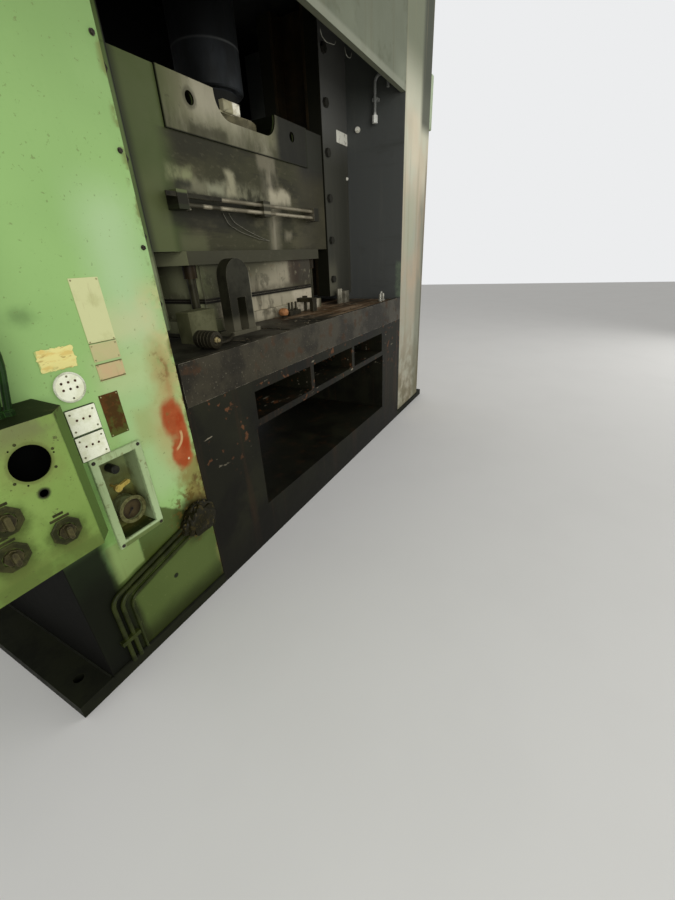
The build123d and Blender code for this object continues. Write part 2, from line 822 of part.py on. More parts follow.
with BuildPart() as upper_die:
    with BuildSketch(Plane.XY.offset(slide_bottom - die_shoe)):
        Rectangle(2 * die_half_width, die_depth)
    extrude(amount=die_shoe)
    with BuildSketch(Plane.XY.offset(die_parting)):
        Rectangle(2 * die_block_half_width, die_block_depth)
        with GridLocations(2 * post_x, 2 * post_y, 2, 2):
            Circle(post_relief / 2, mode=Mode.SUBTRACT)
    extrude(amount=slide_bottom - die_shoe - die_parting)
    with BuildSketch(Plane.XY.offset(die_parting)):
        with GridLocations(2 * post_x, 2 * post_y, 2, 2):
            Circle(bush_diameter / 2 + running_clearance)
    extrude(amount=slide_bottom - die_parting, mode=Mode.SUBTRACT)
save(upper_die.part, "upper_die")

with BuildPart() as guide_posts:
    with BuildSketch(Plane.XY.offset(bolster_top)):
        with GridLocations(2 * post_x, 2 * post_y, 2, 2):
            Circle(post_diameter / 2)
    extrude(amount=slide_bottom - post_top_gap - bolster_top)
    chamfer(guide_posts.edges().group_by(Axis.Z)[-1], edge_chamfer / 2)
save(guide_posts.part, "guide_posts")

with BuildPart() as guide_bushes:
    with BuildSketch(Plane.XY.offset(slide_bottom - 2 * die_shoe)):
        with GridLocations(2 * post_x, 2 * post_y, 2, 2):
            Circle(bush_diameter / 2)
            Circle(post_diameter / 2 + running_clearance, mode=Mode.SUBTRACT)
    extrude(amount=2 * die_shoe)
save(guide_bushes.part, "guide_bushes")

# Clamps that hold the lower die, each a strap with its heel and T-bolt
clamp_level = bolster_top + die_shoe
clamp_bolt_y = die_depth / 2 + clamp_strap
with BuildPart() as die_clamps:
    for end in (-1, 1):
        inner = end * (die_depth / 2 - clamp_strap)
        outer = end * (die_depth / 2 + clamp_length - clamp_strap)
        heel = outer - end * clamp_strap
        for x in (-clamp_x, clamp_x):
            with BuildSketch(Plane.YZ.offset(x - clamp_width / 2)):
                with BuildLine():
                    Polyline((inner, clamp_level), (inner, clamp_level + clamp_strap),
                             (outer, clamp_level + clamp_strap), (outer, bolster_top),
                             (heel, bolster_top), (heel, clamp_level), close=True)
                make_face()
            extrude(amount=clamp_width)
            with BuildSketch(Plane.XY.offset(clamp_level + clamp_strap)):
                with Locations((x, end * clamp_bolt_y)):
                    RegularPolygon(small_bolt_flats / 2, 6, major_radius=False)
            extrude(amount=small_bolt_head)
            with BuildSketch(Plane.XY.offset(bolster_top - slot_lip)):
                with Locations((x, end * clamp_bolt_y)):
                    Circle(small_bolt_diameter / 2)
            extrude(amount=slot_lip + die_shoe + clamp_strap)
            with BuildSketch(Plane.XY.offset(bolster_top - slot_lip)):
                with Locations((x, end * clamp_bolt_y)):
                    Rectangle(slot_head - slot_play, slot_head - slot_play)
            extrude(amount=slot_play - slot_head_height)
save(die_clamps.part, "die_clamps")

# Two-legged stand with a round head, in front of the die
with BuildPart() as die_stand:
    with BuildSketch(Plane.XZ.offset(-stand_y)):
        with Locations((stand_x, bolster_top + (stand_height - stand_width / 2) / 2)):
            Rectangle(stand_width, stand_height - stand_width / 2)
        with Locations((stand_x, bolster_top + stand_height - stand_width / 2)):
            Circle(stand_width / 2)
        with Locations((stand_x, bolster_top + stand_height / 4)):
            Rectangle(stand_width - 2 * stand_leg, stand_height / 2, mode=Mode.SUBTRACT)
    extrude(amount=stand_thickness)
    with BuildSketch(Plane.XY.offset(bolster_top)):
        with Locations((stand_x, stand_y - stand_thickness / 2)):
            Rectangle(stand_width + stand_leg, stand_thickness + rail_foot)
    extrude(amount=rail_foot)
save(die_stand.part, "die_stand")

# Recess for the controls: folded box behind the window
niche_back = front + niche_depth
with BuildPart() as niche_box:
    with BuildSketch(Plane.XZ.offset(-front)):
        with Locations((niche_x, niche_z)):
            Rectangle(niche_width, niche_height)
    extrude(amount=-niche_depth)
    with BuildSketch(Plane.XZ.offset(-front)):
        with Locations((niche_x, niche_z)):
            Rectangle(niche_width - 2 * niche_wall, niche_height - 2 * niche_wall)
    extrude(amount=-niche_depth + niche_wall, mode=Mode.SUBTRACT)
    with BuildSketch(Plane.XZ.offset(-niche_back)):
        with Locations((niche_x, button_z)):
            Circle(knob_stem / 2 + running_clearance)
        with Locations((lever_x, lever_z)):
            Circle(knob_stem / 2 + running_clearance)
    extrude(amount=niche_wall, both=True, mode=Mode.SUBTRACT)
save(niche_box.part, "niche_box")

with BuildPart() as niche_frame:
    with BuildSketch(Plane.XZ.offset(-front)):
        with Locations((niche_x, niche_z)):
            RectangleRounded(niche_width + 2 * niche_frame_border, niche_height + 2 * niche_frame_border,
                             upright_corner)
            Rectangle(niche_width - 2 * niche_wall, niche_height - 2 * niche_wall, mode=Mode.SUBTRACT)
    extrude(amount=niche_frame_thickness)
    chamfer(niche_frame.edges().group_by(Axis.Y)[0], small_chamfer)
save(niche_frame.part, "niche_frame")

# Push button: cap, stem through the recess's back and a collar behind it
button_front = front + button_inset
with BuildPart() as push_button:
    with BuildSketch(Plane.XZ.offset(-button_front)):
        with Locations((niche_x, button_z)):
            Circle(button_diameter / 2)
    extrude(amount=-(niche_back - niche_wall - button_front - button_travel - niche_wall / 3))
    with BuildSketch(Plane.XZ.offset(-button_front)):
        with Locations((niche_x, button_z)):
            Circle(knob_stem / 2)
    extrude(amount=-(niche_back + collar - button_front))
    with BuildSketch(Plane.XZ.offset(-niche_back)):
        with Locations((niche_x, button_z)):
            Circle(knob_stem)
    extrude(amount=-collar)
    chamfer(push_button.edges().group_by(Axis.Y)[0], small_chamfer)
save(push_button.part, "push_button")

# Valve lever: hub on a stem with a flat handle to the left and down
lever_front = front + lever_inset
handle_middle = Vector(lever_length / 2 - lever_thickness / 2, 0).rotate(Axis.Z, lever_tilt)
with BuildPart() as valve_lever:
    with BuildSketch(Plane.XZ.offset(-lever_front)):
        with Locations((lever_x, lever_z)):
            Circle(lever_hub / 2)
        with Locations((lever_x + handle_middle.X, lever_z + handle_middle.Y)):
            SlotOverall(lever_length, lever_width, rotation=lever_tilt)
    extrude(amount=-lever_thickness)
    with BuildSketch(Plane.XZ.offset(-lever_front)):
        with Locations((lever_x, lever_z)):
            Circle(knob_stem / 2)
    extrude(amount=-(niche_back + collar - lever_front))
    with BuildSketch(Plane.XZ.offset(-niche_back)):
        with Locations((lever_x, lever_z)):
            Circle(knob_stem)
    extrude(amount=-collar)
save(valve_lever.part, "valve_lever")

# Gauge: case on the recess's back, with a needle on its spindle
gauge_front = niche_back - niche_wall - gauge_depth
with BuildPart() as gauge_body:
    with BuildSketch(Plane.XZ.offset(-gauge_front)):
        with Locations((gauge_x, gauge_z)):
            Circle(gauge_diameter / 2)
    extrude(amount=-gauge_depth)
    with BuildSketch(Plane.XZ.offset(-gauge_front)):
        with Locations((gauge_x, gauge_z)):
            Circle(gauge_diameter / 2 - gauge_rim)
    extrude(amount=-gauge_recess, mode=Mode.SUBTRACT)
    with BuildSketch(Plane.XZ.offset(-gauge_front)):
        with Locations((gauge_x, gauge_z)):
            Circle(spindle / 2 + running_clearance)
    extrude(amount=-gauge_recess / 2 - spindle_length - running_clearance, mode=Mode.SUBTRACT)
    chamfer(gauge_body.edges().group_by(Axis.Y)[0].sort_by(SortBy.RADIUS)[-1], gauge_rim / 2)
save(gauge_body.part, "gauge_body")

with BuildPart() as gauge_needle:
    with BuildSketch(Plane.XZ.offset(-gauge_front - gauge_recess / 2)):
        with Locations((gauge_x, gauge_z)):
            Circle(spindle)
        with BuildLine():
            Polyline((gauge_x - spindle / 2, gauge_z + spindle / 2),
                     (gauge_x - needle_reach, gauge_z - needle_reach),
                     (gauge_x + spindle / 2, gauge_z - spindle / 2), close=True)
        make_face()
    extrude(amount=needle_thickness)
    with BuildSketch(Plane.XZ.offset(-gauge_front - gauge_recess / 2)):
        with Locations((gauge_x, gauge_z)):
            Circle(spindle / 2)
    extrude(amount=-spindle_length)
save(gauge_needle.part, "gauge_needle")

# Blank plates on the left upright: a tall strip, two small ones, a label and a rusty plate
with BuildPart() as marker_plates:
    with BuildSketch(Plane.XZ.offset(-front)):
        with Locations((strip_x, strip_z)):
            Rectangle(strip_width, strip_height)
        with Locations(*[(strip_x, height) for height in small_plate_heights]):
            Rectangle(strip_width, small_plate)
        with Locations((label_x, label_z)):
            Rectangle(label_width, label_height)
        with Locations((rusty_plate_x, rusty_plate_z)):
            Rectangle(rusty_plate_width, rusty_plate_height)
    extrude(amount=plate_thickness)
save(marker_plates.part, "marker_plates")

# Round socket and two square sockets, with plain pin holes
with BuildPart() as socket_plates:
    with BuildSketch(Plane.XZ.offset(-front)):
        with Locations((round_socket_x, round_socket_z)):
            Circle(round_socket_diameter / 2)
        with Locations((socket_x, socket_plate_z), (socket_x, socket_plate_z - socket_pitch)):
            Rectangle(socket_width, socket_pitch - socket_gap)
    extrude(amount=socket_thickness)
    with BuildSketch(Plane.XZ.offset(-front + socket_thickness)):
        with Locations((round_socket_x, round_socket_z + pin_rise)):
            with GridLocations(pin_pitch, pin_pitch, 3, 2):
                Circle(pin_hole / 2)
        with Locations((socket_x, socket_plate_z + pin_rise),
                       (socket_x, socket_plate_z - socket_pitch + pin_rise)):
            with GridLocations(pin_pitch, 0, 3, 1):
                Circle(pin_hole / 2)
    extrude(amount=-socket_thickness / 2, mode=Mode.SUBTRACT)
save(socket_plates.part, "socket_plates")

# Two slanted pipes low on the left upright, and the greasy block they enter
pipe_y = front - pipe_diameter / 2
slope = tan(radians(pipe_slope))
with BuildPart() as base_pipes:
    for offset in (-pipe_pitch / 2, pipe_pitch / 2):
        foot = (riser_x - offset, pipe_y, foot_thickness)
        high = block_z + offset
        bend = (foot[0], pipe_y, high - slope * (block_x - foot[0]))
        with BuildLine() as route:
            FilletPolyline(foot, bend, (block_x, pipe_y, high), radius=3 * pipe_diameter)
        with BuildSketch(Plane.XY.offset(foot_thickness)):
            with Locations((foot[0], pipe_y)):
                Circle(pipe_diameter / 2)
        sweep(path=route.line)
    with BuildSketch(Plane.XZ.offset(-front)):
        with Locations((block_x, block_z)):
            RectangleRounded(block_width, block_width, block_width / 8)
    extrude(amount=block_depth)
    with BuildSketch(Plane.XZ.offset(-front)):
        with Locations((riser_x, pipe_clip_height)):
            Rectangle(2 * pipe_pitch + pipe_diameter, pipe_diameter)
    extrude(amount=pipe_diameter + plate_thickness)
save(base_pipes.part, "base_pipes")

# Console: box with bevelled corners, open at the front, and its panel
console_x = (console_left + console_right) / 2
console_z = (console_bottom + console_top) / 2
console_width = console_right - console_left
console_height = console_top - console_bottom


def console_outline(inset):
    left = console_left + inset
    right = console_right - inset
    bevel = console_bevel - inset * (2 - 2 ** 0.5)
    face = console_front + inset
    return [(left, front - inset), (left, face + bevel), (left + bevel, face),
            (right - bevel, face), (right, face + bevel), (right, front - inset)]


with BuildPart() as console_box:
    with BuildSketch(Plane.XY.offset(console_bottom)):
        with BuildLine():
            Polyline(*console_outline(0), close=True)
        make_face()
    extrude(amount=console_height)
    with BuildSketch(Plane.XY.offset(console_bottom + console_wall)):
        with BuildLine():
            Polyline(*console_outline(console_wall), close=True)
        make_face()
    extrude(amount=console_height - 2 * console_wall, mode=Mode.SUBTRACT)
    with BuildSketch(Plane.XZ.offset(-console_front)):
        with Locations((console_x, console_z)):
            Rectangle(console_width - 2 * console_bevel - 2 * console_rim, console_height - 2 * console_rim)
    extrude(amount=-3 * console_wall, mode=Mode.SUBTRACT)
save(console_box.part, "console_box")

with BuildPart() as console_panel:
    with BuildSketch(Plane.XZ.offset(-console_front)):
        with Locations((console_x, console_z)):
            Rectangle(console_width - 2 * console_bevel, console_height)
        with Locations((gauge_hole_x, gauge_hole_z)):
            Circle(gauge_hole / 2, mode=Mode.SUBTRACT)
            with PolarLocations(gauge_hole / 2 + bezel_margin, 3, start_angle=bezel_turn):
                Circle(bezel_hole / 2, mode=Mode.SUBTRACT)
        with Locations((gauge_hole_x, lamp_hole_z)):
            Circle(lamp_hole / 2, mode=Mode.SUBTRACT)
        with Locations(*knob_places.values()):
            Circle(knob_stem / 2 + running_clearance, mode=Mode.SUBTRACT)
    extrude(amount=console_panel_thickness)
save(console_panel.part, "console_panel")

# Bracket: angle behind the console and on the upright's side
bracket_left = console_left + bracket_wall
bracket_inner = -upright_outer - bracket_wall
with BuildPart() as console_bracket:
    with BuildSketch(Plane.XY.offset(console_z - bracket_height / 2)):
        with BuildLine():
            Polyline((bracket_left, front), (-upright_outer, front),
                     (-upright_outer, front + bracket_reach), (bracket_inner, front + bracket_reach),
                     (bracket_inner, front + bracket_wall), (bracket_left, front + bracket_wall), close=True)
        make_face()
    extrude(amount=bracket_height)
    with BuildSketch(Plane.XY.offset(console_z - bracket_wall / 2)):
        with BuildLine():
            Polyline((bracket_left + bracket_wall, front + bracket_wall),
                     (bracket_inner, front + bracket_wall), (bracket_inner, front + bracket_reach),
                     close=True)
        make_face()
    extrude(amount=bracket_wall)
save(console_bracket.part, "console_bracket")

# Conduits from the console's top to the upright's side
with BuildPart() as console_conduits:
    for x, y, rise, run in conduit_places:
        bend = console_top + rise
        with BuildLine() as route:
            FilletPolyline((x, y, console_top), (x, y, bend), (x, y + run, bend + conduit_rise),
                           (-upright_outer, y + run, bend + conduit_rise), radius=conduit_gland)
        with BuildSketch(Plane.XY.offset(console_top)):
            with Locations((x, y)):
                Circle(conduit_diameter / 2)
        sweep(path=route.line)
        with BuildSketch(Plane.XY.offset(console_top)):
            with Locations((x, y)):
                RegularPolygon(conduit_gland / 2, 6)
        extrude(amount=conduit_diameter)
save(console_conduits.part, "console_conduits")

# Selector knobs: skirt, grip and a stem through the panel
for name, (x, z) in knob_places.items():
    with BuildPart() as knob:
        with BuildSketch(Plane.XZ.offset(-panel_front)):
            with Locations((x, z)):
                RegularPolygon(knob_diameter / 2, 8)
        extrude(amount=knob_skirt)
        with BuildSketch(Plane.XZ.offset(-panel_front + knob_skirt)):
            with Locations((x, z)):
                SlotOverall(knob_grip_length, knob_grip_width, rotation=90)
        extrude(amount=knob_grip_height)
        with BuildSketch(Plane.XZ.offset(-panel_front)):
            with Locations((x, z)):
                Circle(knob_stem / 2)
        extrude(amount=-console_panel_thickness - knob_skirt)
        chamfer(knob.edges().group_by(Axis.Y)[0], small_chamfer)
    save(knob.part, name)

# Hooked pipe on the right upright's inner wall, with its clip
hook_x = half_opening - hook_standoff
with BuildPart() as hook_pipe:
    with BuildLine() as route:
        FilletPolyline((hook_x, hook_y, hook_bottom), (hook_x, hook_y, hook_top),
                       (hook_x, hook_y - hook_width, hook_top),
                       (hook_x, hook_y - hook_width, hook_top - hook_drop),
                       radius=hook_width * 0.45)
    with BuildSketch(Plane.XY.offset(hook_bottom)):
        with Locations((hook_x, hook_y)):
            Circle(hook_diameter / 2)
    sweep(path=route.line)
    with BuildSketch(Plane.XY.offset(hook_bottom - hook_nut)):
        with Locations((hook_x, hook_y)):
            RegularPolygon(hook_diameter, 6)
    extrude(amount=hook_nut)
    with BuildSketch(Plane.XY.offset(hook_bottom + hook_clip_rise)):
        with Locations(((hook_x + half_opening) / 2, hook_y)):
            Rectangle(hook_standoff, hook_diameter * 2)
    extrude(amount=hook_clip)
save(hook_pipe.part, "hook_pipe")

# Junction box on the outer side of the right upright
box_middle = (front + box_inset + box_depth / 2, (box_bottom + box_top) / 2)
with BuildPart() as junction_box:
    with BuildSketch(Plane.YZ.offset(upright_outer)):
        with Locations(box_middle):
            RectangleRounded(box_depth, box_top - box_bottom, box_corner)
    extrude(amount=box_width)
    with BuildSketch(Plane.YZ.offset(upright_outer + box_width)):
        with Locations(box_middle):
            RectangleRounded(box_depth - 2 * box_corner, box_top - box_bottom - 2 * box_corner, box_corner)
    extrude(amount=box_lid)
save(junction_box.part, "junction_box")

# Oil tank with its lid and filler cap
tank_x = tank_left + tank_length / 2
tank_top = deck_top + tank_height
filler_place = (tank_x - tank_length / 4, tank_depth / 4)
with BuildPart() as oil_tank:
    with BuildSketch(Plane.XY.offset(deck_top)):
        with Locations((tank_x, 0)):
            RectangleRounded(tank_length, tank_depth, tank_corner)
    extrude(amount=tank_height)
    with BuildSketch(Plane.XY.offset(deck_top + tank_wall)):
        with Locations((tank_x, 0)):
            RectangleRounded(tank_length - 2 * tank_wall, tank_depth - 2 * tank_wall, tank_corner - tank_wall)
    extrude(amount=tank_height - tank_wall, mode=Mode.SUBTRACT)
    with BuildSketch(Plane.YZ.offset(tank_left + tank_length)):
        with Locations((motor_axis_y, motor_z - suction_drop)):
            Circle(suction_diameter / 2 + bolt_play)
    extrude(amount=-tank_wall, mode=Mode.SUBTRACT)
save(oil_tank.part, "oil_tank")

with BuildPart() as tank_lid:
    with BuildSketch(Plane.XY.offset(tank_top)):
        with Locations((tank_x, 0)):
            RectangleRounded(tank_length + 2 * lid_overhang, tank_depth + 2 * lid_overhang, tank_corner)
        with Locations(filler_place):
            Circle(filler_neck / 2 + bolt_play, mode=Mode.SUBTRACT)
    extrude(amount=lid_thickness)
    with BuildSketch(Plane.XY.offset(tank_top + lid_thickness)):
        with Locations((tank_x + tank_length / 4, 0)):
            Circle(manhole_diameter / 2)
    extrude(amount=lid_thickness)
save(tank_lid.part, "tank_lid")

with BuildPart() as filler_cap:
    with BuildSketch(Plane.XY.offset(tank_top + lid_thickness)):
        with Locations(filler_place):
            Circle(filler_diameter / 2)
    extrude(amount=filler_height)
    with BuildSketch(Plane.XY.offset(tank_top + lid_thickness)):
        with Locations(filler_place):
            Circle(filler_neck / 2)
    extrude(amount=-filler_neck / 2)
    fillet(filler_cap.edges().group_by(Axis.Z)[-1], edge_chamfer)
save(filler_cap.part, "filler_cap")

# Motor: finned case with feet, hollow for the rotor
motor_right = motor_left + motor_length
motor_radius = motor_diameter / 2
case_length = motor_length - 2 * motor_shield
with BuildPart() as motor_body:
    with BuildSketch(Plane.YZ.offset(motor_left)):
        with Locations((motor_axis_y, motor_z)):
            Circle(motor_diameter / 2)
    extrude(amount=motor_length)
    with BuildSketch(Plane.YZ.offset(motor_left + motor_shield)):
        with Locations((motor_axis_y, motor_z)):
            with PolarLocations(motor_radius + fin_height / 2 - fin_root, fin_count):
                Rectangle(fin_height, fin_thickness)
    extrude(amount=case_length)
    with BuildSketch(Plane.XY.offset(deck_top)):
        with Locations((motor_left + motor_length / 2, motor_axis_y)):
            Rectangle(case_length - 2 * motor_shield, motor_diameter)
    extrude(amount=motor_axis_height - motor_diameter / 3)
    with BuildSketch(Plane.XZ.offset(-motor_axis_y + motor_radius - motor_shield)):
        with Locations((motor_left + motor_length / 3, motor_z)):
            RectangleRounded(terminal_width, terminal_height, box_corner)
    extrude(amount=motor_shield + terminal_depth)
    with BuildSketch(Plane.YZ.offset(motor_left + motor_shield)):
        with Locations((motor_axis_y, motor_z)):
            Circle(rotor_diameter / 2 + air_gap)
    extrude(amount=case_length, mode=Mode.SUBTRACT)
    with BuildSketch(Plane.YZ.offset(motor_left)):
        with Locations((motor_axis_y, motor_z)):
            Circle(shaft_diameter / 2 + running_clearance)
    extrude(amount=motor_length, mode=Mode.SUBTRACT)
save(motor_body.part, "motor_body")

# Rotor: shaft, core, coupling and fan turn as one
pump_right = pump_left + pump_length
shaft_start = pump_right - shaft_entry
shaft_end = motor_right + fan_cover_length - fan_gap
with BuildPart() as motor_rotor:
    for start, length, diameter in (
            (shaft_start, shaft_end - shaft_start, shaft_diameter),
            (motor_left + motor_shield + air_gap, case_length - 2 * air_gap, rotor_diameter),
            (pump_right + fan_gap, bell_length - 2 * fan_gap, coupling_diameter),
            (motor_right + fan_gap, fan_depth / 2, fan_hub)):
        with BuildSketch(Plane.YZ.offset(start)):
            with Locations((motor_axis_y, motor_z)):
                Circle(diameter / 2)
        extrude(amount=length)
    with BuildSketch(Plane.YZ.offset(motor_right + fan_gap)):
        with Locations((motor_axis_y, motor_z)):
            with PolarLocations(fan_hub / 2 + fan_blade_length * 3 / 8, fan_blades):
                Rectangle(fan_blade_length, fan_thickness)
    extrude(amount=fan_depth)
save(motor_rotor.part, "motor_rotor")

with BuildPart() as fan_cover:
    with BuildSketch(Plane.YZ.offset(motor_right - motor_shield / 2)):
        with Locations((motor_axis_y, motor_z)):
            Circle(motor_radius + cover_wall)
            Circle(motor_radius, mode=Mode.SUBTRACT)
    extrude(amount=fan_cover_length + motor_shield / 2)
    with BuildSketch(Plane.YZ.offset(motor_right + fan_cover_length)):
        with Locations((motor_axis_y, motor_z)):
            Circle(motor_radius + cover_wall)
            for radius in grille_rings:
                with PolarLocations(radius, radius // 5):
                    Circle(grille_hole / 2, mode=Mode.SUBTRACT)
    extrude(amount=cover_wall)
save(fan_cover.part, "fan_cover")

# Bell housing between pump and motor, open at both sides
with BuildPart() as bell_housing:
    with BuildSketch(Plane.YZ.offset(pump_right)):
        with Locations((motor_axis_y, motor_z)):
            Circle(bell_diameter / 2)
            Circle(bell_diameter / 2 - bell_wall, mode=Mode.SUBTRACT)
    extrude(amount=bell_length)
    with BuildSketch(Plane.XZ.offset(-motor_axis_y)):
        with Locations((motor_left - bell_length / 2, motor_z)):
            RectangleRounded(bell_length - 2 * bell_rim, bell_window, bell_rim / 2)
    extrude(amount=bell_diameter, both=True, mode=Mode.SUBTRACT)
save(bell_housing.part, "bell_housing")

with BuildPart() as pump_body:
    with BuildSketch(Plane.YZ.offset(pump_left)):
        with Locations((motor_axis_y, motor_z)):
            RectangleRounded(pump_width, pump_height, bell_rim)
    extrude(amount=pump_length - pump_flange)
    with BuildSketch(Plane.YZ.offset(pump_right - pump_flange)):
        with Locations((motor_axis_y, motor_z)):
            Circle(bell_diameter / 2)
    extrude(amount=pump_flange)
    with BuildSketch(Plane.YZ.offset(pump_right)):
        with Locations((motor_axis_y, motor_z)):
            Circle(shaft_diameter / 2 + running_clearance)
    extrude(amount=-shaft_entry - air_gap, mode=Mode.SUBTRACT)
    with BuildSketch(Plane.XY.offset(deck_top)):
        with Locations((pump_left + pump_length / 2, motor_axis_y)):
            Rectangle(pump_foot_width, pump_foot_depth)
    extrude(amount=motor_axis_height - pump_height / 2 + air_gap)
save(pump_body.part, "pump_body")

# Valve block with three valves on it
valve_left = valve_x - valve_block_width / 2
valve_seat = deck_top + valve_block_height
with BuildPart() as valve_block:
    with BuildSketch(Plane.XY.offset(deck_top)):
        with Locations((valve_x, valve_y)):
            Rectangle(valve_block_width, valve_block_depth)
    extrude(amount=valve_block_height)
    chamfer(valve_block.edges().group_by(Axis.Z)[-1], edge_chamfer)
save(valve_block.part, "valve_block")

with BuildPart() as solenoid_valves:
    with BuildSketch(Plane.XY.offset(valve_seat)):
        with Locations((valve_x, valve_y)):
            with GridLocations(valve_pitch, 0, valve_count, 1):
                RectangleRounded(valve_body_width, valve_body_depth, box_corner)
    extrude(amount=valve_body_width)
    with BuildSketch(Plane.XZ.offset(-valve_y)):
        with Locations((valve_x, valve_seat + valve_body_width / 2)):
            with GridLocations(valve_pitch, 0, valve_count, 1):
                Circle(solenoid_diameter / 2)
    extrude(amount=solenoid_reach, both=True)
save(solenoid_valves.part, "solenoid_valves")

# Pressure pipe: valve block to the middle of the cap
cap_top = barrel_top + cap_thickness
pipe_top = cap_top + main_pipe_rise
pipe_drop = valve_left - suction_reach
port_level = deck_top + main_port_height
with BuildPart() as pressure_pipe:
    with BuildLine() as route:
        FilletPolyline((0, 0, cap_top), (0, 0, pipe_top), (0, valve_y, pipe_top),
                       (pipe_drop, valve_y, pipe_top), (pipe_drop, valve_y, port_level),
                       (valve_left, valve_y, port_level), radius=main_pipe_bend)
    with BuildSketch(Plane.XY.offset(cap_top)):
        Circle(main_pipe_diameter / 2)
    sweep(path=route.line)
    with BuildSketch(Plane.XY.offset(cap_top)):
        Circle(main_flange_diameter / 2)
    extrude(amount=main_flange_height)
save(pressure_pipe.part, "pressure_pipe")

# Suction pipe from the tank to the pump, in front of the barrel
tank_right = tank_left + tank_length
pipe_front = -barrel_diameter / 2 - suction_clearance
pipe_level = motor_z - suction_drop
with BuildPart() as suction_pipe:
    with BuildLine() as route:
        FilletPolyline((tank_right - suction_entry, motor_axis_y, pipe_level),
                       (tank_right + suction_reach, motor_axis_y, pipe_level),
                       (tank_right + suction_reach, pipe_front, pipe_level),
                       (pump_left - suction_entry, pipe_front, pipe_level),
                       (pump_left - suction_entry, motor_axis_y, pipe_level),
                       (pump_left, motor_axis_y, pipe_level), radius=suction_pipe_bend)
    with BuildSketch(Plane.YZ.offset(tank_right - suction_entry)):
        with Locations((motor_axis_y, pipe_level)):
            Circle(suction_diameter / 2)
    sweep(path=route.line)
save(suction_pipe.part, "suction_pipe")
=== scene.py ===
import bmesh
import bpy
import numpy as np
from mathutils import Matrix, Vector


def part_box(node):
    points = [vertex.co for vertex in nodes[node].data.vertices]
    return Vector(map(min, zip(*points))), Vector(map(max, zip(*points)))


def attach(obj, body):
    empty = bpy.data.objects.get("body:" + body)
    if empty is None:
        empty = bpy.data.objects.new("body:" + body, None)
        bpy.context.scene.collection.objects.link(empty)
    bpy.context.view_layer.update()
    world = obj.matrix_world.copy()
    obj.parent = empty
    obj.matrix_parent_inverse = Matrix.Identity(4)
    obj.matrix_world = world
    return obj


# Dressing for the stamping press. Metres, +Z up, the front looks to -Y.

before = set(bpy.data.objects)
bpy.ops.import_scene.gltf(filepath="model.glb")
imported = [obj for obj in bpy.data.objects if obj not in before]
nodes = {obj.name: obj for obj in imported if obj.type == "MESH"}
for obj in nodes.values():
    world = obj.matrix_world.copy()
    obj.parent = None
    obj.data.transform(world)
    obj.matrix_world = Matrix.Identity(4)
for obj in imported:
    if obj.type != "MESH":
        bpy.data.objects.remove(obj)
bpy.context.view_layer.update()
print("frame loaded:", len(nodes), "nodes")

camera = {"place": (-2.394, -2.13, 1.57), "lens": 15.44, "film": 36.0,
          "right": (0.47435, -0.87921, -0.04460), "up": (0.41292, 0.17746, 0.89331),
          "ahead": (0.77749, 0.44216, -0.44722)}
stage = {"floorSize": 40.0, "floorDrop": 0.002, "floorColour": (226, 225, 221),
         "skyColour": (236, 237, 238), "worldStrength": 0.50,
         "keyPlace": (-4.6, -6.4, 3.0), "keyAim": (-1.0, -0.3, 1.2), "keySize": 4.0, "keyPower": 225.0,
         "fillPlace": (4.5, -5.5, 3.2), "fillAim": (0.5, 0.0, 1.6), "fillSize": 5.0, "fillPower": 110.0}


def tone(red, green, blue):
    # 0 to 255 as seen on a screen, turned into a linear colour
    steps = np.array((red, green, blue)) / 255.0
    linear = np.where(steps <= 0.04045, steps / 12.92, ((steps + 0.055) / 1.055) ** 2.4)
    return (*[float(v) for v in linear], 1.0)


def makeCamera():
    data = bpy.data.cameras.new("photoCamera")
    data.lens = camera["lens"]
    data.sensor_width = camera["film"]
    data.clip_end = 100.0
    eye = bpy.data.objects.new("photoCamera", data)
    turn = Matrix((camera["right"], camera["up"], [-v for v in camera["ahead"]])).transposed()
    eye.matrix_world = Matrix.Translation(camera["place"]) @ turn.to_4x4()
    bpy.context.scene.collection.objects.link(eye)
    bpy.context.scene.camera = eye


def makeLamp(name, place, aim, size, power):
    data = bpy.data.lights.new(name, "AREA")
    data.size = size
    data.energy = power
    lamp = bpy.data.objects.new(name, data)
    lamp.location = place
    lamp.rotation_euler = (Vector(place) - Vector(aim)).to_track_quat("Z", "Y").to_euler()
    bpy.context.scene.collection.objects.link(lamp)


makeCamera()
makeLamp("keyLamp", stage["keyPlace"], stage["keyAim"], stage["keySize"], stage["keyPower"])
makeLamp("fillLamp", stage["fillPlace"], stage["fillAim"], stage["fillSize"], stage["fillPower"])
bpy.context.scene.view_settings.view_transform = "Standard"
print("camera and lamps placed")


# Shader maths: a number on a surface that takes + - * / with numbers and other values
class Value:
    def __init__(self, look, socket):
        self.look = look
        self.socket = socket

    def __add__(self, other):
        return self.look.math("ADD", self, other)

    def __sub__(self, other):
        return self.look.math("SUBTRACT", self, other)

    def __rsub__(self, other):
        return self.look.math("SUBTRACT", other, self)

    def __mul__(self, other):
        return self.look.math("MULTIPLY", self, other)

    def __truediv__(self, other):
        return self.look.math("DIVIDE", self, other)

    def __pow__(self, other):
        return self.look.math("POWER", self, other)

    def __abs__(self):
        return self.look.math("ABSOLUTE", self, 0.0)

    __radd__ = __add__
    __rmul__ = __mul__

    def rise(self, start, end):
        # a smooth step from 0 at start to 1 at end, either way round
        made = self.look.node("ShaderNodeMapRange", {"interpolation_type": "SMOOTHSTEP"},
                              {"Value": self, "From Min": start, "From Max": end})
        return Value(self.look, made.outputs[0])

    def band(self, low, high, soft):
        return self.rise(low - soft, low + soft) * self.rise(high + soft, high - soft)


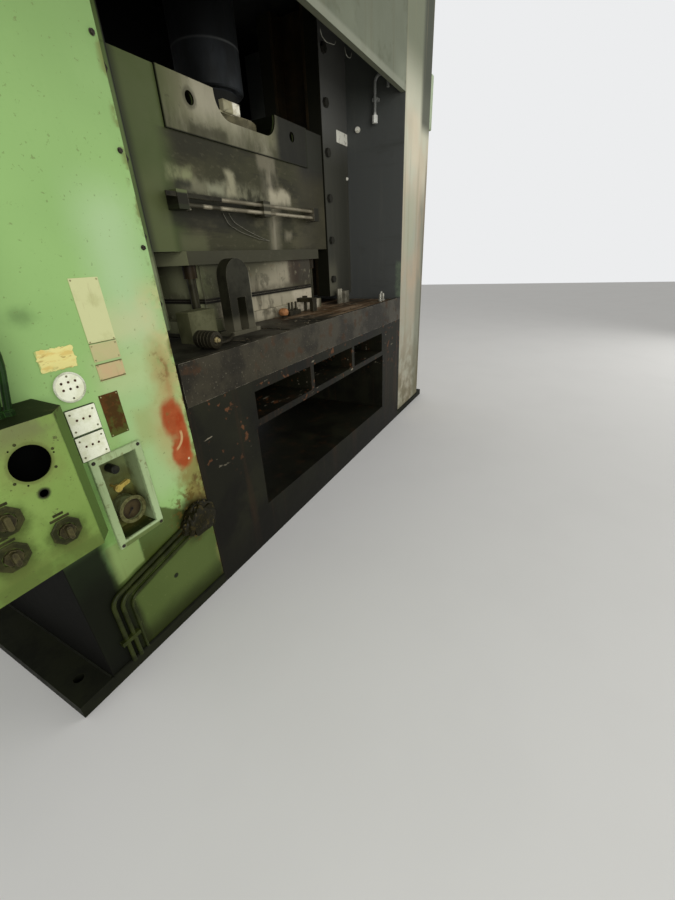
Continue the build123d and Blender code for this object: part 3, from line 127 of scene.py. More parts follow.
# A material made of layers: a ground colour, then stains, wear and dirt over it by their masks
class Look:
    def __init__(self, name, colour, rough=0.5, metal=0.0):
        self.material = bpy.data.materials.new(name)
        self.material.use_nodes = True
        self.tree = self.material.node_tree
        self.tree.nodes.clear()
        self.colour = tone(*colour)
        self.rough = rough
        self.metal = metal
        self.heights = []
        where = self.node("ShaderNodeTexCoord")
        self.place = where.outputs["Object"]
        self.x, self.y, self.z = self.split(self.place)
        self.normal = dict(zip("xyz", self.split(where.outputs["Normal"])))

    def node(self, kind, settings=None, inputs=None):
        made = self.tree.nodes.new(kind)
        for key, value in (settings or {}).items():
            setattr(made, key, value)
        for key, value in (inputs or {}).items():
            value = value.socket if isinstance(value, Value) else value
            if isinstance(value, bpy.types.NodeSocket):
                self.tree.links.new(value, made.inputs[key])
            else:
                made.inputs[key].default_value = value
        return made

    def math(self, operation, first, second):
        made = self.node("ShaderNodeMath", {"operation": operation}, {0: first, 1: second})
        return Value(self, made.outputs[0])

    def split(self, vector):
        made = self.node("ShaderNodeSeparateXYZ", {}, {0: vector})
        return [Value(self, made.outputs[i]) for i in range(3)]

    def facing(self, axis, sign=1):
        # 1 on faces that look along the axis, or against it
        return self.normal[axis].rise(0.5 * sign, 0.9 * sign)

    def stretched(self, stretch, shift):
        made = self.node("ShaderNodeVectorMath", {"operation": "MULTIPLY_ADD"},
                         {0: self.place, 1: stretch, 2: (shift, shift * 1.7, shift * 0.6)})
        return made.outputs[0]

    def noise(self, scale, detail=3.0, stretch=(1, 1, 1), shift=0.0):
        made = self.node("ShaderNodeTexNoise", {},
                         {"Vector": self.stretched(stretch, shift), "Scale": scale, "Detail": detail,
                          "Roughness": 0.6})
        return Value(self, made.outputs[0])

    def streaks(self, scale, shift=0.0, along=0.06):
        # noise drawn out along Z: runs of rust, soot and oil
        return self.noise(scale, 4.0, (1, 1, along), shift)

    def edges(self, radius=0.004):
        # bright where a bevel of that radius would turn the surface
        soft = self.node("ShaderNodeBevel", {"samples": 4}, {"Radius": radius})
        hard = self.node("ShaderNodeNewGeometry")
        dot = self.node("ShaderNodeVectorMath", {"operation": "DOT_PRODUCT"},
                        {0: soft.outputs[0], 1: hard.outputs["True Normal"]})
        return Value(self, dot.outputs["Value"]).rise(0.995, 0.90)

    def patch(self, soft=0.01, ragged=0.0, grain=18.0, shift=0.0, **sides):
        # inside a box given as x=(low, high) and so on, with a torn border
        mask = 1.0
        wander = (self.noise(grain, 4.0, shift=shift) - 0.5) * (2.5 * ragged) if ragged else 0.0
        for axis, (low, high) in sides.items():
            mask = (getattr(self, axis) + wander).band(low, high, soft) * mask
        return mask

    def stains(self, *rows):
        # on a wall that faces the front: x, z, softness, raggedness, grain, share, colour, roughness
        for x, z, soft, ragged, grain, share, colour, rough in rows:
            self.layer(self.patch(soft, ragged, grain, x=x, z=z) * share, colour, rough)

    def spot(self, x, z, radius, soft=0.01, ragged=0.0, grain=30.0, tall=1.0):
        # round stain on a wall that faces the front
        across = self.x - x
        up = (self.z - z) / tall
        reach = (across * across + up * up) ** 0.5
        if ragged:
            reach = reach + (self.noise(grain, 4.0, shift=x) - 0.5) * (2.5 * ragged)
        return reach.rise(radius + soft, radius - soft)

    def layer(self, mask, colour=None, rough=None, metal=None):
        if colour is not None:
            made = self.node("ShaderNodeMix", {"data_type": "RGBA"},
                             {0: mask, 6: self.colour, 7: tone(*colour)})
            self.colour = made.outputs[2]
        if rough is not None:
            self.rough = self.rough + (rough - self.rough) * mask
        if metal is not None:
            self.metal = self.metal + (metal - self.metal) * mask
        return self

    def raised(self, height, depth):
        self.heights.append((height, depth))
        return self

    def done(self):
        normal = None
        for height, depth in self.heights:
            inputs = {"Height": height, "Distance": depth, "Strength": 1.0}
            if normal is not None:
                inputs["Normal"] = normal
            normal = self.node("ShaderNodeBump", {}, inputs).outputs[0]
        inputs = {"Base Color": self.colour, "Roughness": self.rough, "Metallic": self.metal,
                  "Specular IOR Level": 0.12}
        if normal is not None:
            inputs["Normal"] = normal
        shader = self.node("ShaderNodeBsdfPrincipled", {}, inputs)
        self.node("ShaderNodeOutputMaterial", {}, {"Surface": shader.outputs[0]})
        return self.material


def dress(look, *names):
    # gives CAD nodes their finished material
    for name in names:
        for slot in nodes[name].material_slots:
            slot.material = look


press = {"innerWall": 1.3305, "frontPlane": -0.7795, "skirt": 2.69, "coverBottom": 2.18,
         "partingLine": 1.363}


# Paint on plate: large clouds of shade, fine speckle, a little orange peel, chips at the edges
def painted(name, colour, shade, light, rough=0.42, chips=(96, 84, 66), wear=0.5):
    look = Look(name, colour, rough)
    look.layer(look.noise(0.9, 3.0, shift=3.1).rise(0.42, 0.66) * 0.75, shade)
    look.layer(look.noise(1.7, 4.0, shift=8.4).rise(0.50, 0.72) * 0.7, light)
    look.layer(look.streaks(9.0, 2.0).rise(0.56, 0.78) * 0.35, shade, 0.55)
    look.layer(look.noise(60.0, 2.0).rise(0.60, 0.72) * 0.20, shade)
    look.layer(look.edges() * look.noise(38.0, 4.0, shift=5.0).rise(0.62 - wear * 0.2, 0.70), chips, 0.6)
    look.raised(look.noise(420.0, 1.0), 0.0002)
    look.raised(look.noise(7.0, 2.0, shift=1.0), 0.0022)
    return look


# Soot and oil with painted shade, for the dark faces inside the frame: black film with dull brown runs
def sootAndShade(look, mask, colour=(34, 34, 31), runs=(52, 50, 42)):
    look.layer(mask, colour, 0.5)
    look.layer(mask * look.streaks(12.0, 4.0).rise(0.50, 0.75) * 0.5, runs, 0.4)
    look.layer(mask * look.noise(5.0, 5.0, shift=7.0).rise(0.55, 0.75) * 0.3, (64, 63, 56), 0.65)
    return look


def insideFrame(look):
    # faces that look into the space between the uprights
    front = press["frontPlane"]
    within = abs(look.x).rise(press["innerWall"] + 0.002, press["innerWall"])
    return within * look.y.rise(front, front + 0.002)


def plainBehind(look, base, shade, runs, roughness):
    # the back and the outer side are plainer than the front
    away = look.y.rise(-0.776, -0.768)
    look.layer(away, base, roughness[0])
    look.layer(away * look.noise(1.3, 4.0, shift=41.0).rise(0.40, 0.66) * 0.6, shade, roughness[1])
    look.layer(away * look.streaks(10.0, 44.0).rise(0.54, 0.72) * 0.45, runs, roughness[2])
    return away


leftSide = {"red": (150, 58, 20), "beige": (186, 178, 124), "rust": (112, 72, 36), "grease": (60, 70, 26),
            "sheen": (170, 196, 150), "high": (112, 140, 84), "low": (68, 80, 34), "black": (6, 7, 2)}


def leftPaint():
    c = leftSide
    look = painted("leftUprightPaint", (146, 182, 112), (134, 170, 102), (158, 194, 124), 0.36)
    look.layer(look.z.rise(1.7, 2.5) * 0.9, c["high"])
    look.layer(look.x.rise(-1.74, -1.92) * 0.45, (124, 154, 92))
    look.stains(((-1.56, -1.36), (1.28, 1.78), 0.09, 0.05, 4.0, 0.7, c["sheen"], None),
                ((-1.62, -1.36), (0.70, 1.22), 0.07, 0.05, 6.0, 0.6, (166, 190, 138), None),
                ((-1.66, -1.44), (1.16, 1.30), 0.05, 0.03, 6.0, 0.6, (178, 192, 140), None),
                ((-1.58, -1.49), (0.94, 1.08), 0.03, 0.03, 9.0, 0.6, (150, 156, 96), None))
    yellowed = look.noise(3.3, 5.0, shift=12.0).rise(0.52, 0.66)
    look.layer(yellowed * look.z.rise(1.4, 0.9) * 0.5, (142, 150, 92))
    # the lower part is dark with grease and dust from the floor; the black under the console is painted shade
    rough = (look.noise(4.0, 4.0, shift=5.0) - 0.5) * 0.25
    look.layer((look.z + rough).rise(0.62, 0.42) * 0.95, c["low"], 0.42)
    look.stains(((-1.66, -1.36), (0.16, 0.38), 0.06, 0.03, 7.0, 0.5, (84, 98, 50), None))
    # painted shade at the outer edge beside the console's top and conduits
    look.layer(look.x.rise(-1.89, -1.95) * look.z.band(1.10, 1.42, 0.06) * 0.6, (84, 116, 58))
    # beige where the top coat has worn through, along the inner edge
    edge = look.x.rise(-1.475, -1.36) * look.z.band(1.02, 1.50, 0.06)
    look.layer(edge * look.noise(9.0, 5.0, shift=2.0).rise(0.38, 0.58) * 0.8, c["beige"], 0.5)
    look.stains(((-1.60, -1.36), (1.33, 1.45), 0.05, 0.04, 9.0, 0.5, (196, 190, 146), 0.55))
    look.layer(look.spot(-1.395, 1.20, 0.055, 0.03, 0.03, 12.0, 2.0) * 0.75, (156, 146, 92), 0.55)
    look.stains(((-1.44, -1.30), (0.54, 0.80), 0.04, 0.07, 10.0, 0.85, (122, 110, 54), 0.55))
    flakes = look.noise(17.0, 5.0, shift=15.0).rise(0.54, 0.64) * look.x.rise(-1.50, -1.42)
    look.layer(flakes * look.z.band(0.60, 1.30, 0.05) * 0.7, (140, 158, 98))
    # red primer: two torn blobs and a drip, with a pale orange haze round them and a paler curl across
    look.layer(look.spot(-1.425, 0.96, 0.075, 0.045, 0.03, 8.0, 2.6) * 0.55, (172, 140, 88), 0.55)
    for place, share in (((-1.406, 0.99, 0.048, 0.018, 0.020, 10.0, 1.8), 1.0),
                         ((-1.400, 0.835, 0.052, 0.014, 0.022, 12.0, 1.5), 1.0),
                         ((-1.388, 1.14, 0.012, 0.016, 0.014, 20.0, 6.0), 0.35),
                         ((-1.372, 0.92, 0.026, 0.010, 0.012, 16.0, 3.5), 1.0)):
        mask = look.spot(*place) * share
        look.layer(mask * 0.92, c["red"], 0.5)
        look.layer(mask * look.noise(14.0, 5.0, shift=9.0).rise(0.50, 0.68) * 0.6, (170, 88, 48), 0.55)
        look.layer(mask * look.noise(26.0, 5.0, shift=3.0).rise(0.60, 0.68) * 0.6, (120, 92, 44), 0.55)
    across, up = look.x + 1.445, look.z - 0.915 + (look.noise(12.0, 3.0) - 0.5) * 0.02
    curl = abs((across * across + up * up) ** 0.5 - 0.062).rise(0.009, 0.003)
    look.layer(curl * look.x.rise(-1.430, -1.415) * look.z.rise(0.935, 0.920) * 0.9, (190, 156, 108), 0.5)
    look.layer(look.spot(-1.375, 0.79, 0.005, 0.003), (204, 190, 150), 0.5)
    rust = look.patch(0.014, 0.03, 20.0, x=(-1.42, -1.375), z=(1.12, 1.28))
    look.layer(rust * look.noise(22.0, 5.0, shift=4.0).rise(0.40, 0.56) * 0.6, c["rust"], 0.7)
    rust = look.patch(0.02, 0.05, x=(-1.40, -1.30), z=(0.48, 0.70))
    look.layer(rust * look.noise(30.0, 4.0).rise(0.42, 0.6) * 0.8, (84, 62, 30), 0.7)
    # chipped inner edge
    rim = look.x.rise(-1.362, -1.334) * look.y.rise(-0.70, -0.75)
    look.layer(rim * look.noise(16.0, 5.0, shift=6.0).rise(0.46, 0.62) * 0.8, (108, 112, 62), 0.6)
    chips = look.noise(22.0, 5.0, shift=16.0).rise(0.52, 0.60)
    look.layer(look.x.rise(-1.345, -1.332) * chips * look.z.rise(1.6, 1.2), (96, 74, 44), 0.7)
    # grease that has run down from the recess and lies black along the pipes
    slope = look.z + (look.x + 1.595) * 0.72
    pipes = look.z - (look.x + 1.415) * 0.231
    wander = (look.noise(11.0, 4.0, shift=31.0) - 0.5) * 0.05
    grease = (slope + wander).rise(0.672, 0.655) * (pipes + wander).rise(0.455, 0.490)
    grease = grease * look.x.rise(-1.710, -1.698)
    look.layer(grease * look.y.rise(-0.770, -0.778) * 0.85, c["grease"], 0.28)
    for low, high, colour in ((0.478, 0.520, (24, 27, 7)), (0.448, 0.462, (34, 40, 12)),
                              (0.420, 0.432, (40, 48, 16))):
        streak = (pipes + wander * 0.4).band(low, high, 0.007)
        look.layer(streak * look.x.rise(-1.84, -1.78) * 0.92, colour, 0.25)
    look.layer(look.x.rise(-1.52, -1.45) * (pipes + wander).band(0.430, 0.535, 0.02) * 0.85, (38, 40, 16),
               0.3)
    fall = (look.x + wander * 0.5).band(-1.850, -1.790, 0.015)
    look.layer(fall * look.z.rise(0.44, 0.38) * 0.85, (26, 30, 11), 0.3)
    clean = look.patch(0.006, 0.006, x=(-1.835, -1.706), z=(0.44, 0.62))
    look.layer(clean * (pipes + wander * 0.4).rise(0.528, 0.540) * 0.85, (124, 143, 84), 0.45)
    # the first row is the painted shadow of the console's side, between it and the recess
    look.stains(((-1.865, -1.785), (0.62, 0.98), 0.015, 0.01, 18.0, 0.7, (98, 134, 62), 0.45),
                ((-1.44, -1.36), (0.575, 0.66), 0.02, 0.03, 18.0, 0.7, (128, 118, 62), 0.5))
    look.layer(look.spot(-1.425, 0.50, 0.085, 0.035, 0.03, 9.0, 1.3) * 0.95, (28, 24, 8), 0.4)
    crust = look.spot(-1.425, 0.52, 0.110, 0.03, 0.04, 24.0, 1.3)
    look.layer(crust * look.noise(40.0, 4.0).rise(0.50, 0.60) * 0.8, (88, 72, 30), 0.6)
    # smudges and small runs
    look.layer(look.spot(-1.812, 1.457, 0.030, 0.035, 0.02, tall=0.7) * 0.7, (98, 126, 74), 0.5)
    look.layer(look.spot(-1.594, 0.28, 0.012, 0.003), (30, 34, 20), 0.6)
    runs = look.streaks(16.0, 6.0, 0.03).rise(0.60, 0.74)
    look.layer(runs * look.z.rise(1.4, 0.7) * 0.5, (98, 102, 54), 0.5)
    look.layer(look.noise(75.0, 3.0, shift=2.0).rise(0.66, 0.70) * 0.5, (104, 112, 66), 0.6)
    away = plainBehind(look, (134, 170, 102), (116, 148, 86), (104, 112, 66), (0.42, 0.5, 0.55))
    look.layer(away * (look.z + rough * 2.0).rise(0.80, 0.25) * 0.85, (60, 66, 36), 0.5)
    # blackest along the foot; painted shade under the console and on the outer side
    look.layer((look.z + rough * 0.4).rise(0.22, 0.08) * 0.85, (30, 34, 6), 0.55)
    shaded = (look.x + rough * 0.2).rise(-1.80, -1.86) * look.z.rise(0.80, 0.62)
    look.layer(shaded * look.y.rise(-0.768, -0.776) * 0.97, c["black"], 0.7)
    # painted shade on the outer side: black from the floor up, higher at the front than at the back
    outerSideShade = (look.z + rough * 2.0 + look.y * 0.35).rise(0.95, 0.55)
    look.layer(look.facing("x", -1) * outerSideShade, (6, 6, 2), 0.8)
    # soot and painted shade on the faces inside the frame
    sootAndShade(look, insideFrame(look), (44, 50, 30), (60, 64, 40))
    return look.done()


def palePaint():
    look = painted("paleUprightPaint", (198, 197, 174), (182, 184, 160), (208, 203, 180), 0.5)
    # painted shade under the crown: darker towards the top
    look.layer(look.z.rise(2.62, 3.05) * 0.95, (108, 113, 90))
    # painted shadow on the upper outer part
    look.layer(look.z.rise(2.72, 2.90) * look.x.rise(1.70, 1.84) * 0.9, (72, 76, 60))
    look.layer(look.z.rise(2.30, 1.75) * 0.9, (158, 156, 138))
    look.layer(look.z.rise(1.8, 1.2) * look.noise(3.0, 4.0).rise(0.35, 0.6) * 0.6, (166, 152, 130))
    look.layer(look.x.rise(1.72, 1.82) * look.z.rise(2.2, 1.9) * 0.75, (118, 121, 104))
    # painted shade along the outer edge
    look.layer(look.x.rise(1.90, 1.95) * look.z.rise(2.45, 2.2) * 0.8, (96, 96, 80))
    rosy = look.noise(2.2, 4.0, (1, 1, 0.5), 21.0).rise(0.44, 0.60)
    look.layer(rosy * look.z.band(1.25, 2.6, 0.1) * 0.35, (196, 166, 134))
    look.stains(((1.36, 1.66), (1.55, 2.05), 0.10, 0.05, 5.0, 0.5, (158, 172, 148), None))
    # painted shadow on the upper outer part, lower down
    look.layer(look.x.rise(1.68, 1.79) * look.z.rise(2.48, 2.60) * 0.9, (66, 70, 56))
    look.stains(((1.50, 1.72), (2.25, 2.62), 0.06, 0.03, 6.0, 0.6, (214, 203, 176), None))
    look.layer(look.streaks(14.0, 3.0, 0.04).rise(0.55, 0.70) * 0.4, (140, 132, 104), 0.6)
    dust = look.noise(6.0, 4.0).rise(0.35, 0.6)
    look.layer(look.z.rise(1.1, 0.1) * dust * 0.8, (98, 92, 66), 0.6)
    look.layer(look.x.rise(1.336, 1.331) * 0.5, (120, 118, 98))
    look.layer(look.facing("z") * 0.6, (112, 104, 84), 0.8)
    away = plainBehind(look, (176, 174, 154), (158, 158, 138), (140, 132, 104), (0.5, 0.55, 0.6))
    dusty = (look.z + look.noise(4.0, 4.0, shift=5.0) * 0.6).rise(1.0, 0.4)
    look.layer(away * dusty * 0.7, (98, 92, 68), 0.6)
    inside = insideFrame(look)
    # soot and painted shade on the faces inside the frame
    sootAndShade(look, inside, (82, 84, 81), (92, 93, 88))
    # painted shade inside, darker up towards the crown
    look.layer(inside * look.z.rise(2.45, 2.9) * 0.6, (74, 77, 71))
    look.layer(inside * look.noise(9.0, 4.0, (0.1, 0.1, 1), 6.0).rise(0.55, 0.70) * 0.4, (60, 61, 56), 0.5)
    corner = look.patch(0.02, 0.03, x=(1.2, 1.34), y=(-0.80, -0.735), z=(1.20, 1.50))
    look.layer(inside * corner * 0.6, (118, 134, 108), 0.5)
    return look.done()


def crownPaint():
    look = painted("crownPaint", (102, 107, 88), (92, 97, 78), (112, 117, 97), 0.5)
    look.layer(look.x.rise(0.95, 1.30) * look.z.rise(2.95, 2.75) * 0.7, (134, 139, 119))
    look.layer(look.streaks(12.0, 5.0, 0.05).rise(0.55, 0.72) * 0.4, (96, 94, 72), 0.6)
    look.layer(look.noise(7.0, 5.0, shift=11.0).rise(0.56, 0.66) * 0.4, (88, 90, 70), 0.6)
    # painted highlight along the skirt's lower edge
    look.layer(abs(look.z - (press["skirt"] + 0.020)).rise(0.035, 0.010) * 0.5, (146, 148, 130))
    look.layer(look.x.rise(1.322, 1.329) * 0.6, (96, 98, 80))
    look.layer(look.facing("z") * 0.7, (104, 98, 80), 0.8)
    look.layer(look.facing("z", -1) * abs(look.y).rise(0.73, 0.741) * 0.6, (96, 98, 80), 0.8)
    # black between the front and back plates: soot with painted shade
    core = look.y.rise(0.7805, 0.7795) * abs(look.y).rise(0.7425, 0.7405)
    sootAndShade(look, insideFrame(look) * core, (13, 14, 12), (22, 22, 20))
    return look.done()


def bedPaint():
    # near black all over: dark paint with painted shade, as the bed's front lies in shadow
    look = painted("bedPaint", (26, 26, 16), (16, 16, 10), (36, 36, 22), 0.55, (70, 52, 36))
    look.layer(look.noise(3.0, 5.0, shift=2.0).rise(0.48, 0.62) * 0.8, (14, 13, 8), 0.5)
    look.layer(look.streaks(10.0, 8.0).rise(0.52, 0.70) * 0.5, (50, 34, 20), 0.5)
    high = look.z.rise(0.5, 0.8) * 0.7
    look.layer(look.noise(19.0, 5.0, shift=4.0).rise(0.62, 0.67) * high, (104, 66, 40), 0.6)
    look.layer(look.noise(30.0, 4.0, (0.25, 1, 1), 9.0).rise(0.66, 0.69) * high, (140, 132, 112), 0.5)
    look.layer(look.z.rise(0.30, 0.02) * 0.8, (18, 17, 12), 0.5)
    return look.done()


def railSteel():
    look = Look("railSteel", (66, 62, 50), 0.36, 0.6)
    look.layer(look.noise(4.0, 5.0, shift=1.0).rise(0.42, 0.62) * 0.8, (32, 30, 24), 0.5, 0.2)
    look.layer(look.noise(90.0, 3.0, (1, 0.04, 1)).rise(0.60, 0.72) * 0.5, (120, 114, 98), 0.25, 0.8)
    look.layer(look.noise(11.0, 5.0, shift=6.0).rise(0.58, 0.70) * 0.6, (74, 52, 34), 0.75, 0.1)
    look.layer(look.noise(55.0, 4.0, shift=8.0).rise(0.64, 0.70) * 0.5, (20, 18, 15), 0.3)
    look.layer(look.edges() * look.noise(30.0, 3.0, shift=4.0).rise(0.40, 0.60), (150, 144, 128), 0.3, 0.8)
    look.raised(look.noise(260.0, 2.0), 0.0002)
    look.raised(look.noise(14.0, 4.0, shift=3.0), 0.0012)
    return look.done()


def gibPaint():
    look = painted("gibHousingPaint", (92, 108, 62), (76, 92, 48), (104, 118, 76), 0.5)
    look.layer(look.z.rise(2.0, 2.7) * 0.85, (70, 88, 42))
    look.layer(look.z.rise(1.85, 1.5) * 0.7, (112, 124, 86), 0.6)
    look.layer(look.z.rise(1.9, 1.4) * look.noise(5.0, 5.0).rise(0.42, 0.62) * 0.6, (136, 146, 112), 0.6)
    scuffs = look.noise(9.0, 5.0, shift=3.0).rise(0.58, 0.68)
    look.layer(scuffs * look.z.rise(1.9, 1.3) * 0.6, (148, 150, 118), 0.6)
    look.layer(look.streaks(10.0, 9.0).rise(0.54, 0.74) * 0.55, (52, 62, 34), 0.4)
    look.layer(look.noise(24.0, 5.0, shift=7.0).rise(0.62, 0.70) * 0.5, (48, 54, 32), 0.5)
    # near black at the top under the crown: soot with painted shade
    look.layer(look.z.rise(2.92, 3.12) * 0.95, (18, 18, 15), 0.6)
    # the right one lies in the dark: soot with painted shade
    right = look.x.rise(0.0, 0.6)
    sootAndShade(look, right, (64, 64, 56), (74, 72, 62))
    look.layer(right * look.z.rise(2.2, 2.6) * 0.8, (98, 98, 94), 0.6)
    look.layer(look.x.band(0.5, 1.05, 0.05) * look.z.rise(1.60, 1.40) * 0.8, (98, 96, 80), 0.6)
    # the inner side, next to the slide, is black with oil
    oily = abs(look.x).rise(0.910, 0.899)
    look.layer(oily, (26, 26, 18), 0.35)
    # light falls past the slide's lower end on the left one
    lit = oily * look.x.rise(-0.5, -0.8)
    look.layer(lit * look.z.rise(1.66, 1.60) * 0.9, (92, 96, 68), 0.5)
    look.layer(lit * look.z.rise(1.50, 1.42) * look.noise(5.0, 5.0, shift=13.0).rise(0.42, 0.58) * 0.7,
               (112, 112, 86), 0.55)
    return look.done()


def slidePaint():
    look = painted("slidePaint", (74, 85, 47), (60, 70, 36), (84, 92, 58), 0.5, (100, 98, 74), 0.7)
    # below the cover panel: sooty beige, paler runs, a pale splash line and darker to the right
    low = look.z.rise(press["coverBottom"] + 0.004, press["coverBottom"] - 0.004) * look.x.rise(-0.74, -0.58)
    look.layer(low * 0.95, (58, 56, 38), 0.55)
    look.layer(low * look.noise(2.6, 6.0, (0.6, 1, 1.2), 2.0).rise(0.42, 0.60) * 0.8, (38, 37, 24), 0.5)
    look.layer(low * look.noise(6.0, 6.0, (0.5, 1, 1), 21.0).rise(0.50, 0.64) * 0.6, (90, 86, 64), 0.6)
    look.layer(low * look.noise(14.0, 5.0, (0.12, 1, 1.5), 26.0).rise(0.54, 0.66) * 0.55, (30, 28, 18), 0.5)
    look.layer(low * look.noise(40.0, 4.0, (0.5, 1, 1), 36.0).rise(0.56, 0.68) * 0.22, (104, 100, 78), 0.55)
    # a lighter fall of runs right of the middle
    wave = (look.noise(4.0, 5.0, (1, 1, 0.4), 17.0) - 0.5) * 0.30
    fall = (look.x + wave).band(0.13, 0.24, 0.08)
    fall = fall * look.noise(8.0, 5.0, (1, 1, 0.4), 9.0).rise(0.30, 0.54)
    look.layer(low * fall * 0.9, (124, 119, 99), 0.55)
    line = (look.x + wave * 0.3).band(0.165, 0.185, 0.015)
    line = line * look.noise(5.0, 4.0, (1, 1, 0.5), 3.0).rise(0.42, 0.56)
    look.layer(low * line * 0.7, (140, 134, 114), 0.55)
    # pale splashes above the bars
    wave = (look.noise(7.0, 5.0, shift=14.0) - 0.5) * 0.12
    splash = (look.z + wave).rise(1.905, 1.925) * (look.z + wave).rise(2.02, 1.95)
    broken = look.noise(9.0, 5.0, (1, 1, 0.6), 18.0).rise(0.40, 0.60)
    look.layer(splash * look.x.band(-0.60, 0.36, 0.08) * broken * 0.75, (128, 126, 100), 0.55)
    torn = look.noise(13.0, 6.0, (1, 1, 0.6), 31.0).rise(0.22, 0.54) * 0.85
    for x, z, colour in (((-0.27, -0.19), (1.92, 2.06), (156, 152, 124)),
                         ((0.14, 0.39), (1.91, 2.00), (176, 169, 144)),
                         ((0.29, 0.37), (1.70, 1.75), (118, 113, 93)),
                         ((-0.70, -0.53), (1.97, 2.03), (134, 138, 100)),
                         ((-0.42, -0.29), (1.92, 1.98), (142, 142, 116)),
                         ((0.05, 0.24), (2.10, 2.22), (116, 111, 92))):
        look.layer(look.patch(0.025, 0.035, 9.0, x=x, z=z) * torn, colour, 0.6)
    look.stains(((-0.66, -0.55), (1.93, 1.97), 0.02, 0.02, 18.0, 0.8, (30, 32, 15), 0.4),
                ((-0.78, -0.05), (1.76, 1.915), 0.03, 0.04, 7.0, 0.75, (34, 33, 22), 0.5))
    look.layer(look.z.rise(1.76, 1.68) * look.x.band(-0.70, -0.50, 0.03) * 0.8, (88, 90, 62))
    look.layer(look.x.rise(-0.70, -0.76) * look.z.rise(2.05, 1.9) * 0.7, (94, 101, 64))
    look.layer(look.x.rise(0.36, 0.62) * 0.7, (64, 61, 47), 0.5)
    look.layer(look.x.rise(0.50, 0.62) * look.z.rise(2.05, 2.20) * 0.8, (40, 40, 37), 0.5)
    look.layer(look.x.rise(-0.84, -0.895) * 0.8, (34, 36, 22), 0.4)
    look.layer(look.facing("z", -1), (40, 38, 30), 0.5)
    look.layer(look.facing("z"), (30, 30, 24), 0.4)
    look.layer(look.y.rise(-0.246, -0.240), (16, 17, 10), 0.3)
    return look.done()


def panelPaint():
    look = painted("slidePanelPaint", (112, 110, 84), (92, 90, 66), (126, 122, 98), 0.45, (84, 80, 60), 0.6)
    look.layer(look.x.rise(-0.46, -0.66) * 0.85, (78, 84, 50), 0.5)
    look.stains(((-0.46, -0.02), (2.27, 2.44), 0.06, 0.04, 18.0, 0.85, (156, 152, 128), None))
    look.layer(look.z.rise(2.28, 2.20) * look.noise(4.0, 4.0).rise(0.25, 0.55) * 0.8, (66, 65, 45), 0.5)
    look.layer(look.noise(6.0, 6.0, (1, 1, 0.4), 5.0).rise(0.46, 0.70) * 0.55, (64, 62, 40), 0.5)
    look.layer(look.noise(30.0, 5.0, shift=2.0).rise(0.60, 0.68) * 0.4, (56, 54, 38), 0.6)
    scuffed = look.patch(0.03, 0.03, x=(0.02, 0.28), z=(2.15, 2.24))
    scuffed = scuffed * look.noise(12.0, 5.0, shift=6.0).rise(0.40, 0.6)
    look.layer(scuffed * 0.7, (122, 118, 98), 0.5)
    look.layer(look.noise(9.0, 6.0, (1, 1, 0.35), 9.0).rise(0.42, 0.72) * 0.5, (150, 146, 122), 0.5)
    look.stains(((-0.44, -0.04), (2.31, 2.44), 0.04, 0.03, 18.0, 0.55, (164, 158, 136), None),
                ((-0.50, -0.22), (2.17, 2.235), 0.02, 0.03, 18.0, 0.75, (60, 58, 40), 0.5))
    wander = (look.noise(6.0, 4.0, shift=6.0) - 0.5) * 0.12
    look.layer((look.x + wander).rise(0.20, 0.34) * 0.96, (34, 34, 29), 0.6)
    look.layer(look.spot(-0.465, 2.334, 0.046, 0.010, 0.006) * 0.6, (58, 56, 40), 0.5)
    look.layer(abs(look.x).rise(0.648, 0.656), (42, 46, 26), 0.6)
    look.layer(look.z.rise(2.188, 2.181), (38, 38, 25), 0.6)
    look.layer(look.y.rise(-0.2605, -0.2585), (20, 20, 13), 0.5)
    return look.done()


